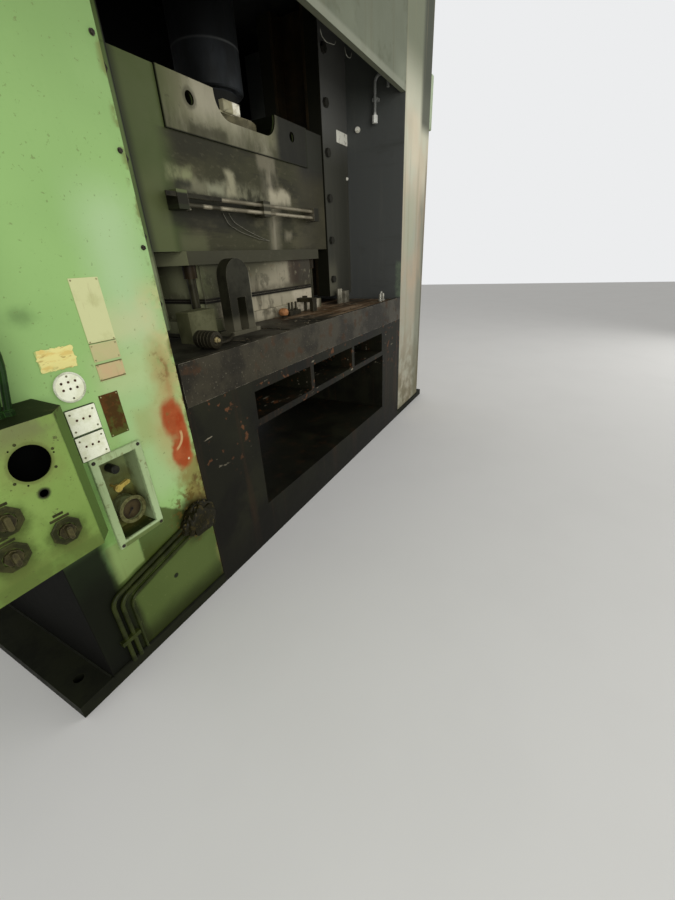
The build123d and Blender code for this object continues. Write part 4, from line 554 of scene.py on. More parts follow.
def diePaint():
    look = Look("dieSteel", (78, 76, 56), 0.55)
    seam = abs(look.z - press["partingLine"])
    look.layer(look.noise(3.5, 5.0, shift=2.0).rise(0.40, 0.64) * 0.7, (56, 54, 39), 0.55)
    look.layer(look.x.rise(-0.3, -0.7) * 0.8, (86, 90, 60))
    look.layer(look.x.rise(0.33, 0.42) * look.z.rise(1.37, 1.42) * 0.8, (60, 55, 46), 0.5)
    fading = (look.z - look.x * 0.35).rise(1.60, 1.38)
    look.layer(look.patch(0.05, 0.03, 7.0, x=(-0.22, 0.34), z=(1.37, 1.57)) * fading * 0.9, (156, 149, 126))
    look.stains(((-0.50, 0.62), (1.19, 1.352), 0.03, 0.02, 9.0, 0.9, (168, 160, 136), None),
                ((-0.75, -0.50), (1.25, 1.352), 0.03, 0.02, 18.0, 0.6, (100, 100, 74), None))
    look.layer(look.streaks(9.0, 3.0, 0.25).rise(0.50, 0.68) * 0.6, (60, 56, 40), 0.6)
    # the second row is painted light on the lower die's right end
    look.stains(((0.29, 0.44), (1.40, 1.64), 0.03, 0.04, 6.0, 0.8, (58, 47, 36), 0.5),
                ((0.32, 0.66), (1.19, 1.352), 0.03, 0.02, 9.0, 0.7, (196, 186, 162), None))
    look.layer(look.noise(11.0, 6.0, shift=33.0).rise(0.54, 0.64) * 0.5, (48, 46, 32), 0.5)
    look.layer(look.noise(22.0, 5.0, shift=37.0).rise(0.58, 0.66) * 0.4, (140, 136, 112), 0.5)
    look.layer(look.noise(16.0, 5.0, shift=5.0).rise(0.58, 0.68) * 0.4, (100, 82, 60), 0.7, 0.0)
    look.layer(look.z.rise(1.50, 1.56) * look.x.rise(0.10, -0.05) * 0.5, (66, 64, 48))
    look.layer(look.z.rise(1.560, 1.566) * 0.85, (62, 61, 46))
    # painted light: the left sides are paler than their paint
    look.layer(look.facing("x", -1) * look.y.rise(0.1, -0.1) * 0.9, (150, 152, 116), 0.55)
    look.layer(seam.rise(0.020, 0.010), (14, 12, 6), 0.7, 0.0)
    above = (look.z - press["partingLine"]).band(0.0, 0.05, 0.02)
    look.layer(above * look.noise(9.0, 4.0).rise(0.38, 0.6) * 0.5, (56, 50, 36), 0.4)
    look.layer(look.edges(0.003) * look.z.rise(1.56, 1.50) * 0.5, (150, 145, 124), 0.4, 0.4)
    look.raised(look.noise(150.0, 3.0), 0.0004)
    return look.done()


def plungerSteel():
    look = Look("plungerSteel", (56, 59, 61), 0.38, 0.4)
    look.layer(look.noise(5.0, 4.0, (1, 1, 0.4), 2.0).rise(0.42, 0.62) * 0.8, (34, 35, 34), 0.5, 0.3)
    look.layer(look.streaks(20.0, 1.0, 0.05).rise(0.55, 0.75) * 0.4, (76, 79, 78), 0.25)
    look.layer(look.noise(24.0, 4.0, shift=4.0).rise(0.62, 0.70) * 0.4, (30, 28, 22), 0.7, 0.0)
    # a step at 2.70 m is painted in: painted shade above it and a painted highlight along it
    look.layer(look.z.rise(2.690, 2.705) * 0.7, (24, 25, 25), 0.5)
    look.layer(look.z.band(2.688, 2.696, 0.005) * 0.8, (98, 100, 98), 0.3)
    # painted shade on the left side
    look.layer(look.x.rise(-0.02, -0.16) * 0.6, (18, 19, 18), 0.5)
    look.layer(look.z.rise(2.488, 2.480) * 0.85, (24, 24, 18), 0.6, 0.1)
    look.raised(look.noise(180.0, 2.0), 0.0001)
    return look.done()


console = {"front": -0.984, "ringInner": 0.0265, "ringOuter": 0.043, "screwCircle": 0.062,
           "knobs": ((-1.992, 0.895), (-2.127, 0.904), (-2.108, 1.004)),
           "gaugeHole": (-2.004, 1.123), "lampHole": (-2.004, 1.030), "top": 1.230,
           "hinges": (-2.351, -0.982, (0.87, 1.15)),
           "conduits": ((-2.05, -0.88), (-2.11, -0.85), (-2.18, -0.89)),
           "sideConduit": (-1.970, -0.885), "sideSteps": (0.0, -0.024, -0.050)}


def consolePaint():
    look = painted("consolePaint", (120, 146, 73), (104, 128, 60), (130, 154, 82), 0.42, (66, 62, 38), 0.9)
    look.layer(look.noise(6.0, 5.0, shift=2.0).rise(0.48, 0.64) * 0.5, (96, 118, 54), 0.5)
    dust = look.noise(7.0, 4.0, shift=9.0).rise(0.30, 0.55)
    look.layer(look.z.rise(1.13, 1.21) * dust * 0.8, (106, 108, 72), 0.5)
    for x, z in console["knobs"]:
        look.layer(look.spot(x, z - 0.01, 0.052, 0.020, 0.014, 40.0) * 0.75, (50, 60, 18), 0.55)
        look.layer(look.spot(x, z - 0.06, 0.030, 0.03, 0.02, 30.0) * 0.5, (80, 90, 40), 0.5)
    look.layer(look.spot(*console["gaugeHole"], 0.057, 0.005, 0.004) * 0.8, (86, 98, 50), 0.5)
    look.layer(look.spot(*console["gaugeHole"], 0.075, 0.03, 0.03) * 0.4, (112, 118, 62), 0.5)
    look.layer(look.spot(*console["lampHole"], 0.016, 0.005, 0.003), (40, 42, 26), 0.5)
    look.layer(look.z.rise(0.92, 0.80) * look.noise(11.0, 4.0).rise(0.35, 0.6) * 0.8, (88, 98, 46), 0.55)
    # painted shade on the right bevel and, faintly, the lower one
    look.layer(look.x.rise(-1.915, -1.905) * 0.85, (74, 98, 42), 0.5)
    look.layer(look.z.rise(0.835, 0.825) * 0.3, (76, 98, 42), 0.5)
    look.layer(look.facing("z"), (26, 34, 11), 0.6)
    look.layer(look.noise(34.0, 5.0, shift=7.0).rise(0.63, 0.68) * 0.7, (66, 62, 38), 0.6)
    look.layer(look.noise(120.0, 3.0, shift=5.0).rise(0.62, 0.68) * 0.35, (84, 82, 48), 0.6)
    # black inside the box, behind the panel and between the side walls: painted shade
    for x, y in (((-2.3135, -1.9115), (-0.9795, -0.70)), ((-2.358, -1.8665), (-0.930, -0.70))):
        look.layer(look.patch(0.0005, x=x, y=y, z=(0.790, 1.228)), (7, 8, 5), 0.7)
    return look.done()


recess = {"frame": (-1.783, -1.581, 0.582, 0.974), "front": -0.792, "screw": 0.007, "screwInset": 0.013,
          "gaugePlace": (-1.674, -0.760, 0.700), "gaugeRadius": 0.050, "dialDepth": 0.0105,
          "dialRadius": 0.0425, "markCircle": 0.038, "marks": 31, "longMark": (0.007, 0.0007),
          "shortMark": (0.004, 0.0005)}


def recessPaint():
    look = painted("recessPaint", (164, 184, 138), (146, 164, 116), (178, 194, 152), 0.45, (74, 70, 46), 0.9)
    look.layer(look.y.rise(-0.779, -0.774), (104, 114, 72), 0.55)
    look.layer(look.facing("x") * look.y.rise(-0.786, -0.780), (30, 30, 14), 0.6)
    look.layer(look.facing("x", -1) * look.y.rise(-0.779, -0.774) * 0.8, (146, 162, 118), 0.5)
    sill = look.facing("z") * look.z.rise(0.70, 0.65)
    look.layer(sill * look.y.rise(-0.786, -0.780), (38, 46, 18), 0.6)
    deep = look.y.rise(-0.76, -0.70)
    look.layer(deep * look.noise(14.0, 5.0, shift=3.0).rise(0.38, 0.62) * 0.7, (66, 64, 32), 0.5)
    look.layer(deep * look.x.rise(-1.66, -1.63) * look.z.rise(0.80, 0.95) * 0.7, (118, 130, 84), 0.5)
    look.layer(deep * look.z.rise(0.86, 0.74) * 0.6, (110, 110, 46), 0.5)
    gaugeX, _, gaugeZ = recess["gaugePlace"]
    look.layer(look.spot(gaugeX, gaugeZ, 0.065, 0.03, 0.03) * look.y.rise(-0.779, -0.774), (52, 48, 24), 0.5)
    look.layer(look.noise(30.0, 4.0, shift=9.0).rise(0.60, 0.68) * 0.6, (104, 98, 56), 0.6)
    look.layer(look.z.rise(0.606, 0.598) * look.x.rise(-1.775, -1.755) * 0.9, (84, 98, 46), 0.5)
    look.layer(look.streaks(40.0, 4.0, 0.1).rise(0.56, 0.70) * 0.4, (110, 118, 72), 0.5)
    return look.done()


def platePaint():
    # tall strip beige, two pinkish plates, a torn label's plate and a rusty one
    look = Look("platePaint", (198, 200, 148), 0.5)
    look.layer(look.z.rise(1.345, 1.343), (184, 176, 128))
    look.layer(look.z.rise(1.285, 1.282), (190, 166, 124))
    look.layer(look.x.rise(-1.69, -1.695), (168, 184, 112))
    look.layer(look.noise(14.0, 5.0, shift=3.0).rise(0.50, 0.66) * 0.5, (176, 178, 124), 0.6)
    look.layer(look.streaks(40.0, 3.0, 0.15).rise(0.6, 0.7) * 0.3, (150, 138, 94))
    for z in (1.3475, 1.2775, 1.224):
        look.layer(abs(look.z - z).rise(0.003, 0.001) * look.x.rise(-1.69, -1.68), (92, 92, 54), 0.6)
    rusty = look.z.rise(1.19, 1.185) * look.x.rise(-1.70, -1.69)
    look.layer(rusty, (66, 46, 14), 0.7)
    look.layer(rusty * look.noise(26.0, 5.0, shift=2.0).rise(0.45, 0.6) * 0.8, (88, 54, 20), 0.65)
    look.layer(rusty * look.noise(18.0, 4.0, shift=6.0).rise(0.50, 0.62), (72, 76, 28), 0.6)
    look.raised(look.noise(120.0, 3.0), 0.0002)
    return look.done()


def simple(name, colour, dirt, rough=0.45, metal=0.0, scale=9.0, bright=None):
    # small parts: clouds of dirt and bright or dark edges
    look = Look(name, colour, rough, metal)
    clouds = look.noise(scale, 5.0, shift=1.0).rise(0.42, 0.62)
    look.layer(clouds * 0.75, dirt, min(rough + 0.15, 0.9), metal * 0.4)
    look.layer(look.noise(scale * 9.0, 3.0, shift=2.0).rise(0.58, 0.70) * 0.5, dirt)
    look.layer(look.edges(0.002) * 0.55, bright or [min(v + 50, 240) for v in colour], rough * 0.8)
    look.raised(look.noise(scale * 30.0, 3.0), 0.0003)
    return look


bars = {"leftHolder": (-0.662, -0.668), "middleHolder": (-0.036, 0.036), "rightHolder": (0.584, 0.590)}


def barsSteel():
    # bright bars; the blocks that hold them are as dark as the slide, with the bars' shine across them
    look = simple("barSteel", (150, 143, 122), (92, 86, 70), 0.35, 0.3, 7.0, (210, 204, 184))
    look.layer(look.z.rise(1.870, 1.874) * 0.45, (104, 98, 80), 0.5)
    left = look.x.rise(*bars["leftHolder"])
    middle = look.x.band(*bars["middleHolder"], 0.001)
    look.layer(left + middle + look.x.rise(*bars["rightHolder"]), (36, 35, 25), 0.55, 0.1)
    look.layer(middle, (54, 52, 39), 0.55, 0.1)
    look.layer(left * look.z.rise(1.893, 1.903), (92, 98, 66), 0.55)
    look.layer(left * look.z.rise(1.853, 1.843), (44, 46, 31), 0.55)
    shine = look.z.band(1.882, 1.896, 0.004) * 0.5 + look.z.band(1.841, 1.857, 0.004)
    look.layer(middle * shine * 0.8, (140, 134, 112), 0.4)
    oily = look.x.rise(-0.40, -0.43) * look.x.band(-0.66, -0.39, 0.002)
    look.layer(oily * (1.0 - look.x.band(-0.55, -0.49, 0.012)) * 0.9, (46, 44, 32), 0.5)
    return look.done()


def hiddenBronze():
    look = Look("linerBronze", (52, 42, 26), 0.45, 0.3)
    look.layer(look.noise(6.0, 5.0, shift=1.0).rise(0.30, 0.62) * 0.9, (28, 25, 17), 0.5, 0.1)
    look.layer(look.edges(0.003) * 0.5, (120, 94, 54), 0.35, 0.6)
    look.layer(look.streaks(14.0, 2.0, 0.1).rise(0.55, 0.7) * 0.5, (28, 24, 18), 0.3)
    look.raised(look.noise(180.0, 2.0), 0.0002)
    return look.done()


def standSteel():
    # the head is nearly black, its legs lighter towards the foot
    look = simple("standSteel", (44, 43, 31), (28, 27, 18), 0.5, 0.1, 9.0, (124, 120, 100))
    # painted highlight along the right edge
    look.layer(look.x.rise(-0.476, -0.471) * 0.7, (150, 145, 124), 0.4)
    look.layer(look.z.rise(1.30, 1.24) * 0.7, (98, 94, 76), 0.5)
    return look.done()


def frameBolts():
    look = simple("frameBolts", (52, 48, 42), (30, 26, 20), 0.55, 0.3, 20.0, (104, 98, 82))
    look.layer(look.x.rise(0.7, 0.9) * 0.8, (46, 46, 40), 0.6, 0.0)
    return look.done()


def bolsterSteel():
    # oily black on the left; on the right painted light: brown with pale streaks where light falls across the
    # top
    look = simple("bolsterSteel", (52, 50, 42), (26, 24, 18), 0.42, 0.2, 5.0, (138, 132, 112))
    right = (look.x + (look.y + 0.35) * 0.5).rise(-0.15, 0.20) * look.y.rise(0.2, -0.1)
    look.layer(right * look.noise(4.0, 5.0, shift=9.0).rise(0.30, 0.55) * 0.8, (104, 80, 54), 0.5)
    along = look.noise(7.0, 5.0, (0.15, 1, 1), 3.0)
    look.layer(along.rise(0.48, 0.58) * right * 0.85, (160, 136, 108), 0.45)
    look.layer(along.rise(0.44, 0.36) * look.x.rise(0.2, 0.8) * 0.7, (52, 50, 30), 0.45)
    look.layer(look.noise(13.0, 5.0, shift=5.0).rise(0.60, 0.70) * 0.5, (96, 88, 70), 0.5)
    look.layer(look.noise(55.0, 4.0, shift=8.0).rise(0.62, 0.70) * 0.6, (20, 18, 14), 0.3)
    return look.done()


# Plain finishes: colour, dirt, roughness, metal, scale of the dirt, colour of the edges and the nodes
plainLooks = {
    "footPaint": ((26, 28, 14), (15, 16, 8), 0.6, 0.0, 5.0, (48, 50, 28), "foot_plates"),
    "cylinderBlack": ((34, 36, 36), (22, 22, 20), 0.5, 0.2, 4.0, (70, 72, 70),
                      "cylinder_barrel", "cylinder_gland", "cylinder_cap"),
    "sealRubber": ((26, 26, 26), (40, 36, 30), 0.7, 0.0, 9.0, None, "rod_seals", "piston_seals"),
    "ringSteel": ((112, 106, 80), (64, 60, 42), 0.4, 0.3, 8.0, (200, 190, 156), "retaining_ring"),
    "postSteel": ((58, 56, 40), (32, 30, 20), 0.4, 0.2, 12.0, None, "guide_posts"),
    "clampSteel": ((54, 50, 35), (32, 28, 18), 0.5, 0.1, 14.0, (118, 112, 90), "die_clamps"),
    "buttonBlack": ((24, 25, 22), (44, 44, 32), 0.35, 0.0, 40.0, (64, 64, 54), "push_button"),
    "leverYellow": ((168, 148, 72), (104, 88, 40), 0.4, 0.0, 45.0, (200, 184, 120), "valve_lever"),
    "gaugeCase": ((120, 128, 88), (78, 78, 44), 0.45, 0.1, 40.0, (150, 156, 116), "gauge_body"),
    "needleBlack": ((20, 18, 14), (40, 32, 20), 0.5, 0.0, 60.0, None, "gauge_needle"),
    "socketWhite": ((234, 236, 212), (208, 210, 176), 0.4, 0.0, 22.0, (240, 242, 222), "socket_plates"),
    "conduitGreen": ((36, 60, 28), (22, 32, 16), 0.5, 0.0, 14.0, (64, 96, 48), "console_conduits"),
    "bracketPaint": ((84, 100, 50), (50, 56, 30), 0.5, 0.1, 10.0, None, "console_bracket"),
    "knobBlack": ((46, 42, 26), (76, 72, 42), 0.5, 0.0, 40.0, (108, 102, 68),
                  "selector_knob_right", "selector_knob_left", "selector_knob_upper"),
    "boxPaint": ((168, 182, 150), (128, 138, 110), 0.45, 0.0, 4.0, None, "junction_box"),
    "deckPaint": ((118, 114, 96), (76, 70, 56), 0.7, 0.0, 2.0, None, "top_deck"),
    "tankPaint": ((130, 156, 106), (100, 118, 76), 0.45, 0.0, 3.0, None, "oil_tank", "tank_lid"),
    "capBlack": ((36, 36, 34), (66, 60, 48), 0.45, 0.0, 20.0, None, "filler_cap"),
    "motorPaint": ((88, 104, 104), (56, 62, 58), 0.45, 0.1, 5.0, None, "motor_body", "fan_cover"),
    "rotorSteel": ((120, 120, 116), (64, 58, 50), 0.35, 0.9, 10.0, None, "motor_rotor"),
    "bellAluminium": ((146, 148, 142), (100, 96, 84), 0.45, 0.6, 10.0, None, "bell_housing"),
    "pumpIron": ((74, 80, 76), (42, 40, 34), 0.5, 0.3, 8.0, None, "pump_body", "valve_block"),
    "coilPlastic": ((30, 32, 34), (58, 54, 46), 0.45, 0.0, 20.0, None, "solenoid_valves"),
    "pipeSteel": ((112, 116, 112), (70, 62, 50), 0.35, 0.7, 8.0, None, "pressure_pipe", "suction_pipe")}
for lookName, (colour, dirt, rough, metal, scale, bright, *names) in plainLooks.items():
    dress(simple(lookName, colour, dirt, rough, metal, scale, bright).done(), *names)

boltLook = simple("darkBolts", (52, 48, 42), (30, 26, 20), 0.55, 0.5, 20.0, (104, 98, 82)).done()
greasy = simple("greasyPipes", (46, 52, 20), (24, 27, 10), 0.3, 0.0, 12.0, (84, 94, 46))
greasy.layer(greasy.x.rise(-1.50, -1.475), (28, 26, 11), 0.5)
hookLook = simple("hookSteel", (152, 154, 150), (96, 96, 90), 0.35, 0.1, 12.0, (206, 208, 200))
hookLook.layer(hookLook.z.rise(2.60, 2.57), (222, 222, 212))
dress(leftPaint(), "left_upright")
dress(palePaint(), "right_upright")
dress(crownPaint(), "crown_beam")
dress(bedPaint(), "bed_beam")
dress(bolsterSteel(), "bolster_plate")
dress(railSteel(), "bolster_front_rail")
dress(gibPaint(), "left_gib_housing", "right_gib_housing")
dress(slidePaint(), "slide_body")
dress(panelPaint(), "slide_cover_panel")
dress(diePaint(), "lower_die", "upper_die")
dress(plungerSteel(), "plunger")
dress(hiddenBronze(), "gib_liners", "guide_bushes")
dress(frameBolts(), "hex_bolts")
dress(boltLook, "gland_screws", "retaining_bolts")
dress(barsSteel(), "slide_bars")
dress(standSteel(), "die_stand")
dress(recessPaint(), "niche_box", "niche_frame")
dress(platePaint(), "marker_plates")
dress(consolePaint(), "console_box", "console_panel")
dress(greasy.done(), "base_pipes")
dress(hookLook.done(), "hook_pipe")
print("materials on", len([n for n in nodes.values() if n.material_slots[0].material]), "nodes")


# Rows by columns of points become a skin of quads whose columns close round
def skin(points):
    rows, columns = points.shape[:2]
    index = np.arange(rows * columns).reshape(rows, columns)
    index = np.hstack((index, index[:, :1]))
    quads = np.stack((index[:-1, :-1], index[:-1, 1:], index[1:, 1:], index[1:, :-1]), -1)
    return points.reshape(-1, 3), quads.reshape(-1, 4)


# A turned shape: each (radius, height) of the profile goes round the axis as radius * (cos, sin)
def turned(profile, place, axis="y", count=32):
    radius, height = np.array(profile, float).T[:, :, None]
    angle = np.linspace(0, 2 * np.pi, count, endpoint=False) + np.pi / count
    across = (radius * np.cos(angle), radius * np.sin(angle), height + 0 * angle)
    order = {"x": (2, 0, 1), "y": (0, 2, 1), "z": (0, 1, 2)}[axis]
    return skin(np.stack([across[i] for i in order], -1) + np.array(place, float))


# A hoop: a small circle turned round the axis at the given radius
def hoop(place, radius, thick, axis="y", count=28):
    angle = np.linspace(0, 2 * np.pi, 11)
    return turned(np.stack((radius + thick * np.cos(angle), thick * np.sin(angle)), -1), place, axis, count)


# Outline of a rectangle with round corners: corner centre + radius * (cos, sin), quarter by quarter
def roundedBox(wide, tall, radius, each=4):
    angle = np.linspace(0, np.pi / 2, each)[None, :] + np.arange(4)[:, None] * np.pi / 2
    signs = np.array(((1, 1), (-1, 1), (-1, -1), (1, -1)), float)
    middle = signs * (wide / 2 - radius, tall / 2 - radius)
    ring = middle[:, None, :] + radius * np.stack((np.cos(angle), np.sin(angle)), -1)
    return ring.reshape(-1, 2)


# A plate: the outline shrinks by each row's inset and stands out of its plane by the row's depth
def slab(outline, rows, place, plane="xz"):
    outline = np.array(outline, float)
    ahead = np.roll(outline, -1, 0) - np.roll(outline, 1, 0)
    normal = np.stack((ahead[:, 1], -ahead[:, 0]), -1)
    normal /= np.linalg.norm(normal, axis=1, keepdims=True) + 1e-12
    inset, depth = np.array(rows, float).T[:, :, None]
    flat = outline[None] - normal[None] * inset[:, :, None]
    points = np.concatenate((flat, depth[:, :, None] + 0 * flat[:, :, :1]), -1)
    ends = points[[0, -1]].copy()
    ends[:, :, :2] = outline.mean(0)
    points = np.concatenate((ends[:1], points, ends[1:]))
    order, sign = {"xz": ((0, 2, 1), (1, -1, 1)), "xy": ((0, 1, 2), (1, 1, 1)),
                   "yz": ((2, 0, 1), (1, 1, 1)), "-yz": ((2, 0, 1), (-1, 1, 1))}[plane]
    return skin(points[:, :, order] * np.array(sign, float) + np.array(place, float))


# A small block with chamfered edges, standing out of its plane by thick
def block(place, wide, tall, thick, plane="xz", edge=0.002, corner=0.003):
    return slab(roundedBox(wide, tall, corner, 3), ((0, 0), (0, thick - edge), (edge, thick)), place, plane)


# A path through corner points, each corner rounded by a quadratic curve that starts reach before it
def bent(corners, reach, each=7):
    corners = np.array(corners, float)
    t = np.linspace(0, 1, each)[:, None]
    bends = [corners[:1]]
    for before, corner, after in zip(corners[:-2], corners[1:-1], corners[2:]):
        start = corner + (before - corner) / np.linalg.norm(before - corner) * reach
        end = corner + (after - corner) / np.linalg.norm(after - corner) * reach
        bends.append((1 - t) ** 2 * start + 2 * t * (1 - t) * corner + t ** 2 * end)
    return np.concatenate(bends + [corners[-1:]])


# A rod or pipe: circles of the given radius set square to the path, closed at both ends
def tube(path, radius, count=10, up=(0.31, 0.52, 0.79)):
    path = np.array(path, float)
    radius = np.broadcast_to(np.asarray(radius, float), len(path))[:, None, None]
    ahead = np.gradient(path, axis=0)
    ahead /= np.linalg.norm(ahead, axis=1, keepdims=True)
    side = np.cross(ahead, up)
    side /= np.linalg.norm(side, axis=1, keepdims=True)
    top = np.cross(ahead, side)
    angle = np.linspace(0, 2 * np.pi, count, endpoint=False)[None, :, None]
    rings = path[:, None] + radius * (np.cos(angle) * side[:, None] + np.sin(angle) * top[:, None])
    caps = path[[0, -1]][:, None] + 0 * rings[[0, -1]]
    return skin(np.concatenate((caps[:1], rings, caps[1:])))


# A weld bead: a rod whose radius ripples along its length
def bead(start, end, radius=0.006, pitch=0.009):
    start, end = np.array(start, float), np.array(end, float)
    length = np.linalg.norm(end - start)
    along = np.linspace(0, 1, int(length / pitch * 3))[:, None]
    path = start + (end - start) * along
    ripple = radius * (1 + 0.16 * np.abs(np.sin(np.pi * along[:, 0] * length / pitch))
                       + 0.10 * np.sin(along[:, 0] * length * 9.0))
    return tube(path, ripple, 6)


# A crusted lump: an ellipsoid whose radius swells with sines of both angles, and not at its poles
def lump(place, size, around=30, rows=17):
    turn = np.linspace(0, 2 * np.pi, around, endpoint=False)[None, :]
    fall = np.linspace(0, np.pi, rows)[:, None]
    swell = 1.0
    for share, waves, shift, bands in ((0.10, 3, 1.1, 2), (0.08, 7, 0.6, 5), (0.05, 11, 2.0, 9)):
        swell = swell + share * np.sin(waves * turn + shift) * np.sin(bands * fall)
    ball = np.stack((np.sin(fall) * np.cos(turn), np.sin(fall) * np.sin(turn), np.cos(fall) + 0 * turn), -1)
    return skin(ball * swell[:, :, None] * np.array(size, float) + np.array(place, float))


# A peg: one radius from low to high, its far rim cut back by chamfer = (inwards, along)
def peg(place, radius, low, high, chamfer=None, axis="z", count=12):
    rim = [(radius, high - chamfer[1]), (radius - chamfer[0], high)] if chamfer else [(radius, high)]
    return turned([(0, low), (radius, low)] + rim + [(0, high)], place, axis, count)


# Hexagon head with a washer under it, pointing along its axis by sign
def hexBolt(place, across, axis="y", sign=-1):
    r, h = across / 2 / np.cos(np.pi / 6), across * 0.62 * sign
    return [peg(place, r * 1.15, 0, h * 0.18, None, axis, 20),
            peg(place, r, 0, h, (r * 0.14, h * 0.14), axis, 6)]


# Round screw head: a shallow dome with a hole in its middle
def screwHead(place, radius, axis="y", sign=-1, rise=0.45):
    h = radius * rise * sign
    return turned([(0, 0), (radius, 0), (radius, h * 0.5), (radius * 0.8, h), (radius * 0.22, h),
                   (radius * 0.18, h * 0.5), (0, h * 0.5)], place, axis, 14)


def piece(name, parts, look, body="press_frame"):
    # joins the parts' skins, closes their seams and poles and turns all faces outwards
    # its look is a finished material, or a row of what simple takes
    look = simple(*look).done() if isinstance(look, tuple) else look
    start = np.cumsum([0] + [len(p[0]) for p in parts])
    verts = np.concatenate([p[0] for p in parts])
    faces = np.concatenate([p[1] + s for p, s in zip(parts, start)])
    mesh = bpy.data.meshes.new(name)
    mesh.from_pydata(verts.tolist(), [], faces.tolist())
    shell = bmesh.new()
    shell.from_mesh(mesh)
    bmesh.ops.remove_doubles(shell, verts=shell.verts, dist=1e-6)
    bmesh.ops.dissolve_degenerate(shell, edges=shell.edges, dist=1e-7)
    bmesh.ops.recalc_face_normals(shell, faces=shell.faces)
    shell.to_mesh(mesh)
    shell.free()
    mesh.shade_smooth()
    mesh.set_sharp_from_angle(angle=0.6)
    mesh.materials.append(look)
    made = bpy.data.objects.new(name, mesh)
    bpy.context.scene.collection.objects.link(made)
    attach(made, body)
    return made


def dressRecess():
    left, right, low, high = recess["frame"]
    y = recess["front"]
    inset = recess["screwInset"]
    screws = [screwHead((x, y, z), recess["screw"]) for x in (left + inset, right - inset)
              for z in (low + inset, high - inset)]
    piece("recessScrews", screws, boltLook)
    x, front, z = recess["gaugePlace"]
    rim = recess["gaugeRadius"]
    profile = ((-0.001, 0.001), (0.007, 0.0), (0.008, -0.003), (0.005, -0.005), (-0.006, -0.005),
               (-0.0075, -0.002), (-0.0075, 0.001), (-0.001, 0.001))
    bezel = [turned([(rim + out, height) for out, height in profile], (x, front, z), "y", 40)]
    piece("gaugeRim", bezel, ("rimSteel", (98, 98, 60), (62, 58, 30), 0.5, 0.0, 50.0, (120, 120, 80)))
    face = front + recess["dialDepth"]
    dial = [peg((x, face, z), recess["dialRadius"], 0.001, -0.0005, None, "y", 40)]
    look = Look("dialFace", (52, 44, 26), 0.6)
    look.layer(look.noise(40.0, 5.0).rise(0.40, 0.62), (40, 32, 18), 0.6)
    look.layer(look.spot(x, z, 0.030, 0.012, 0.006) * 0.3, (88, 76, 48))
    piece("gaugeDial", dial, look.done())
    # marks all round the dial: long ones at every fifth
    marks = []
    middle = np.array((x, face - 0.0007, z))
    circle = recess["markCircle"]
    for i, turn in enumerate(np.radians(np.linspace(-135, 135, recess["marks"]))):
        long, thick = recess["longMark"] if i % 5 == 0 else recess["shortMark"]
        out = np.array((-np.sin(turn), 0, np.cos(turn)))
        marks.append(tube([middle + out * (circle - long), middle + out * circle], thick, 6, (0.1, 1, 0.2)))
    piece("gaugeMarks", marks, ("markBlack", (24, 20, 12), (40, 32, 18), 0.5, 0.0, 60.0))


pipeRun = {"blockPlace": (-1.415, -0.812, 0.500), "thinRadius": 0.006, "thinBend": 0.05,
           "lumps": (((0, 0, 0), (0.084, 0.042, 0.074)), ((-0.055, 0.012, -0.012), (0.048, 0.026, 0.040)),
                     ((0.006, 0.014, 0.046), (0.038, 0.022, 0.032)))}


def dressPipes():
    # grease and dust have caked on the block where the pipes end
    x, y, z = pipeRun["blockPlace"]
    lumps = [lump((x + dx, y + dy, z + dz), size) for (dx, dy, dz), size in pipeRun["lumps"]]
    look = Look("cakedGrease", (26, 24, 8), 0.45)
    look.layer(look.noise(30.0, 5.0, shift=2.0).rise(0.50, 0.62) * 0.7, (58, 50, 22), 0.6)
    look.layer(look.noise(60.0, 4.0, shift=5.0).rise(0.60, 0.68) * 0.6, (110, 96, 50), 0.6)
    look.raised(look.noise(60.0, 4.0), 0.003)
    piece("cakedGrease", lumps, look.done())
    # a thin third pipe below the two
    low = y + 0.026
    corners = [(x, low, z - 0.058), (x - 0.400, low, z - 0.150), (x - 0.402, low, 0.064)]
    run = [tube(bent(corners, pipeRun["thinBend"]), pipeRun["thinRadius"])]
    piece("thinPipe", run, ("thinPipeGreasy", (40, 46, 18), (22, 25, 9), 0.35, 0.0, 12.0, (84, 94, 46)))


sockets = {"plateFront": -0.782, "socketFront": -0.786, "screw": 0.0035, "rivet": 0.0028, "rivetInset": 0.006,
           "plates": ((-1.600, 1.447, 0.096, 0.200), (-1.600, 1.316, 0.096, 0.058),
                      (-1.600, 1.250, 0.096, 0.058), (-1.638, 1.098, 0.070, 0.156)),
           "label": (-1.757, 1.325, 0.061, 0.037), "round": (-1.752, 1.232), "squareX": -1.746,
           "squareZ": (1.116, 1.020)}


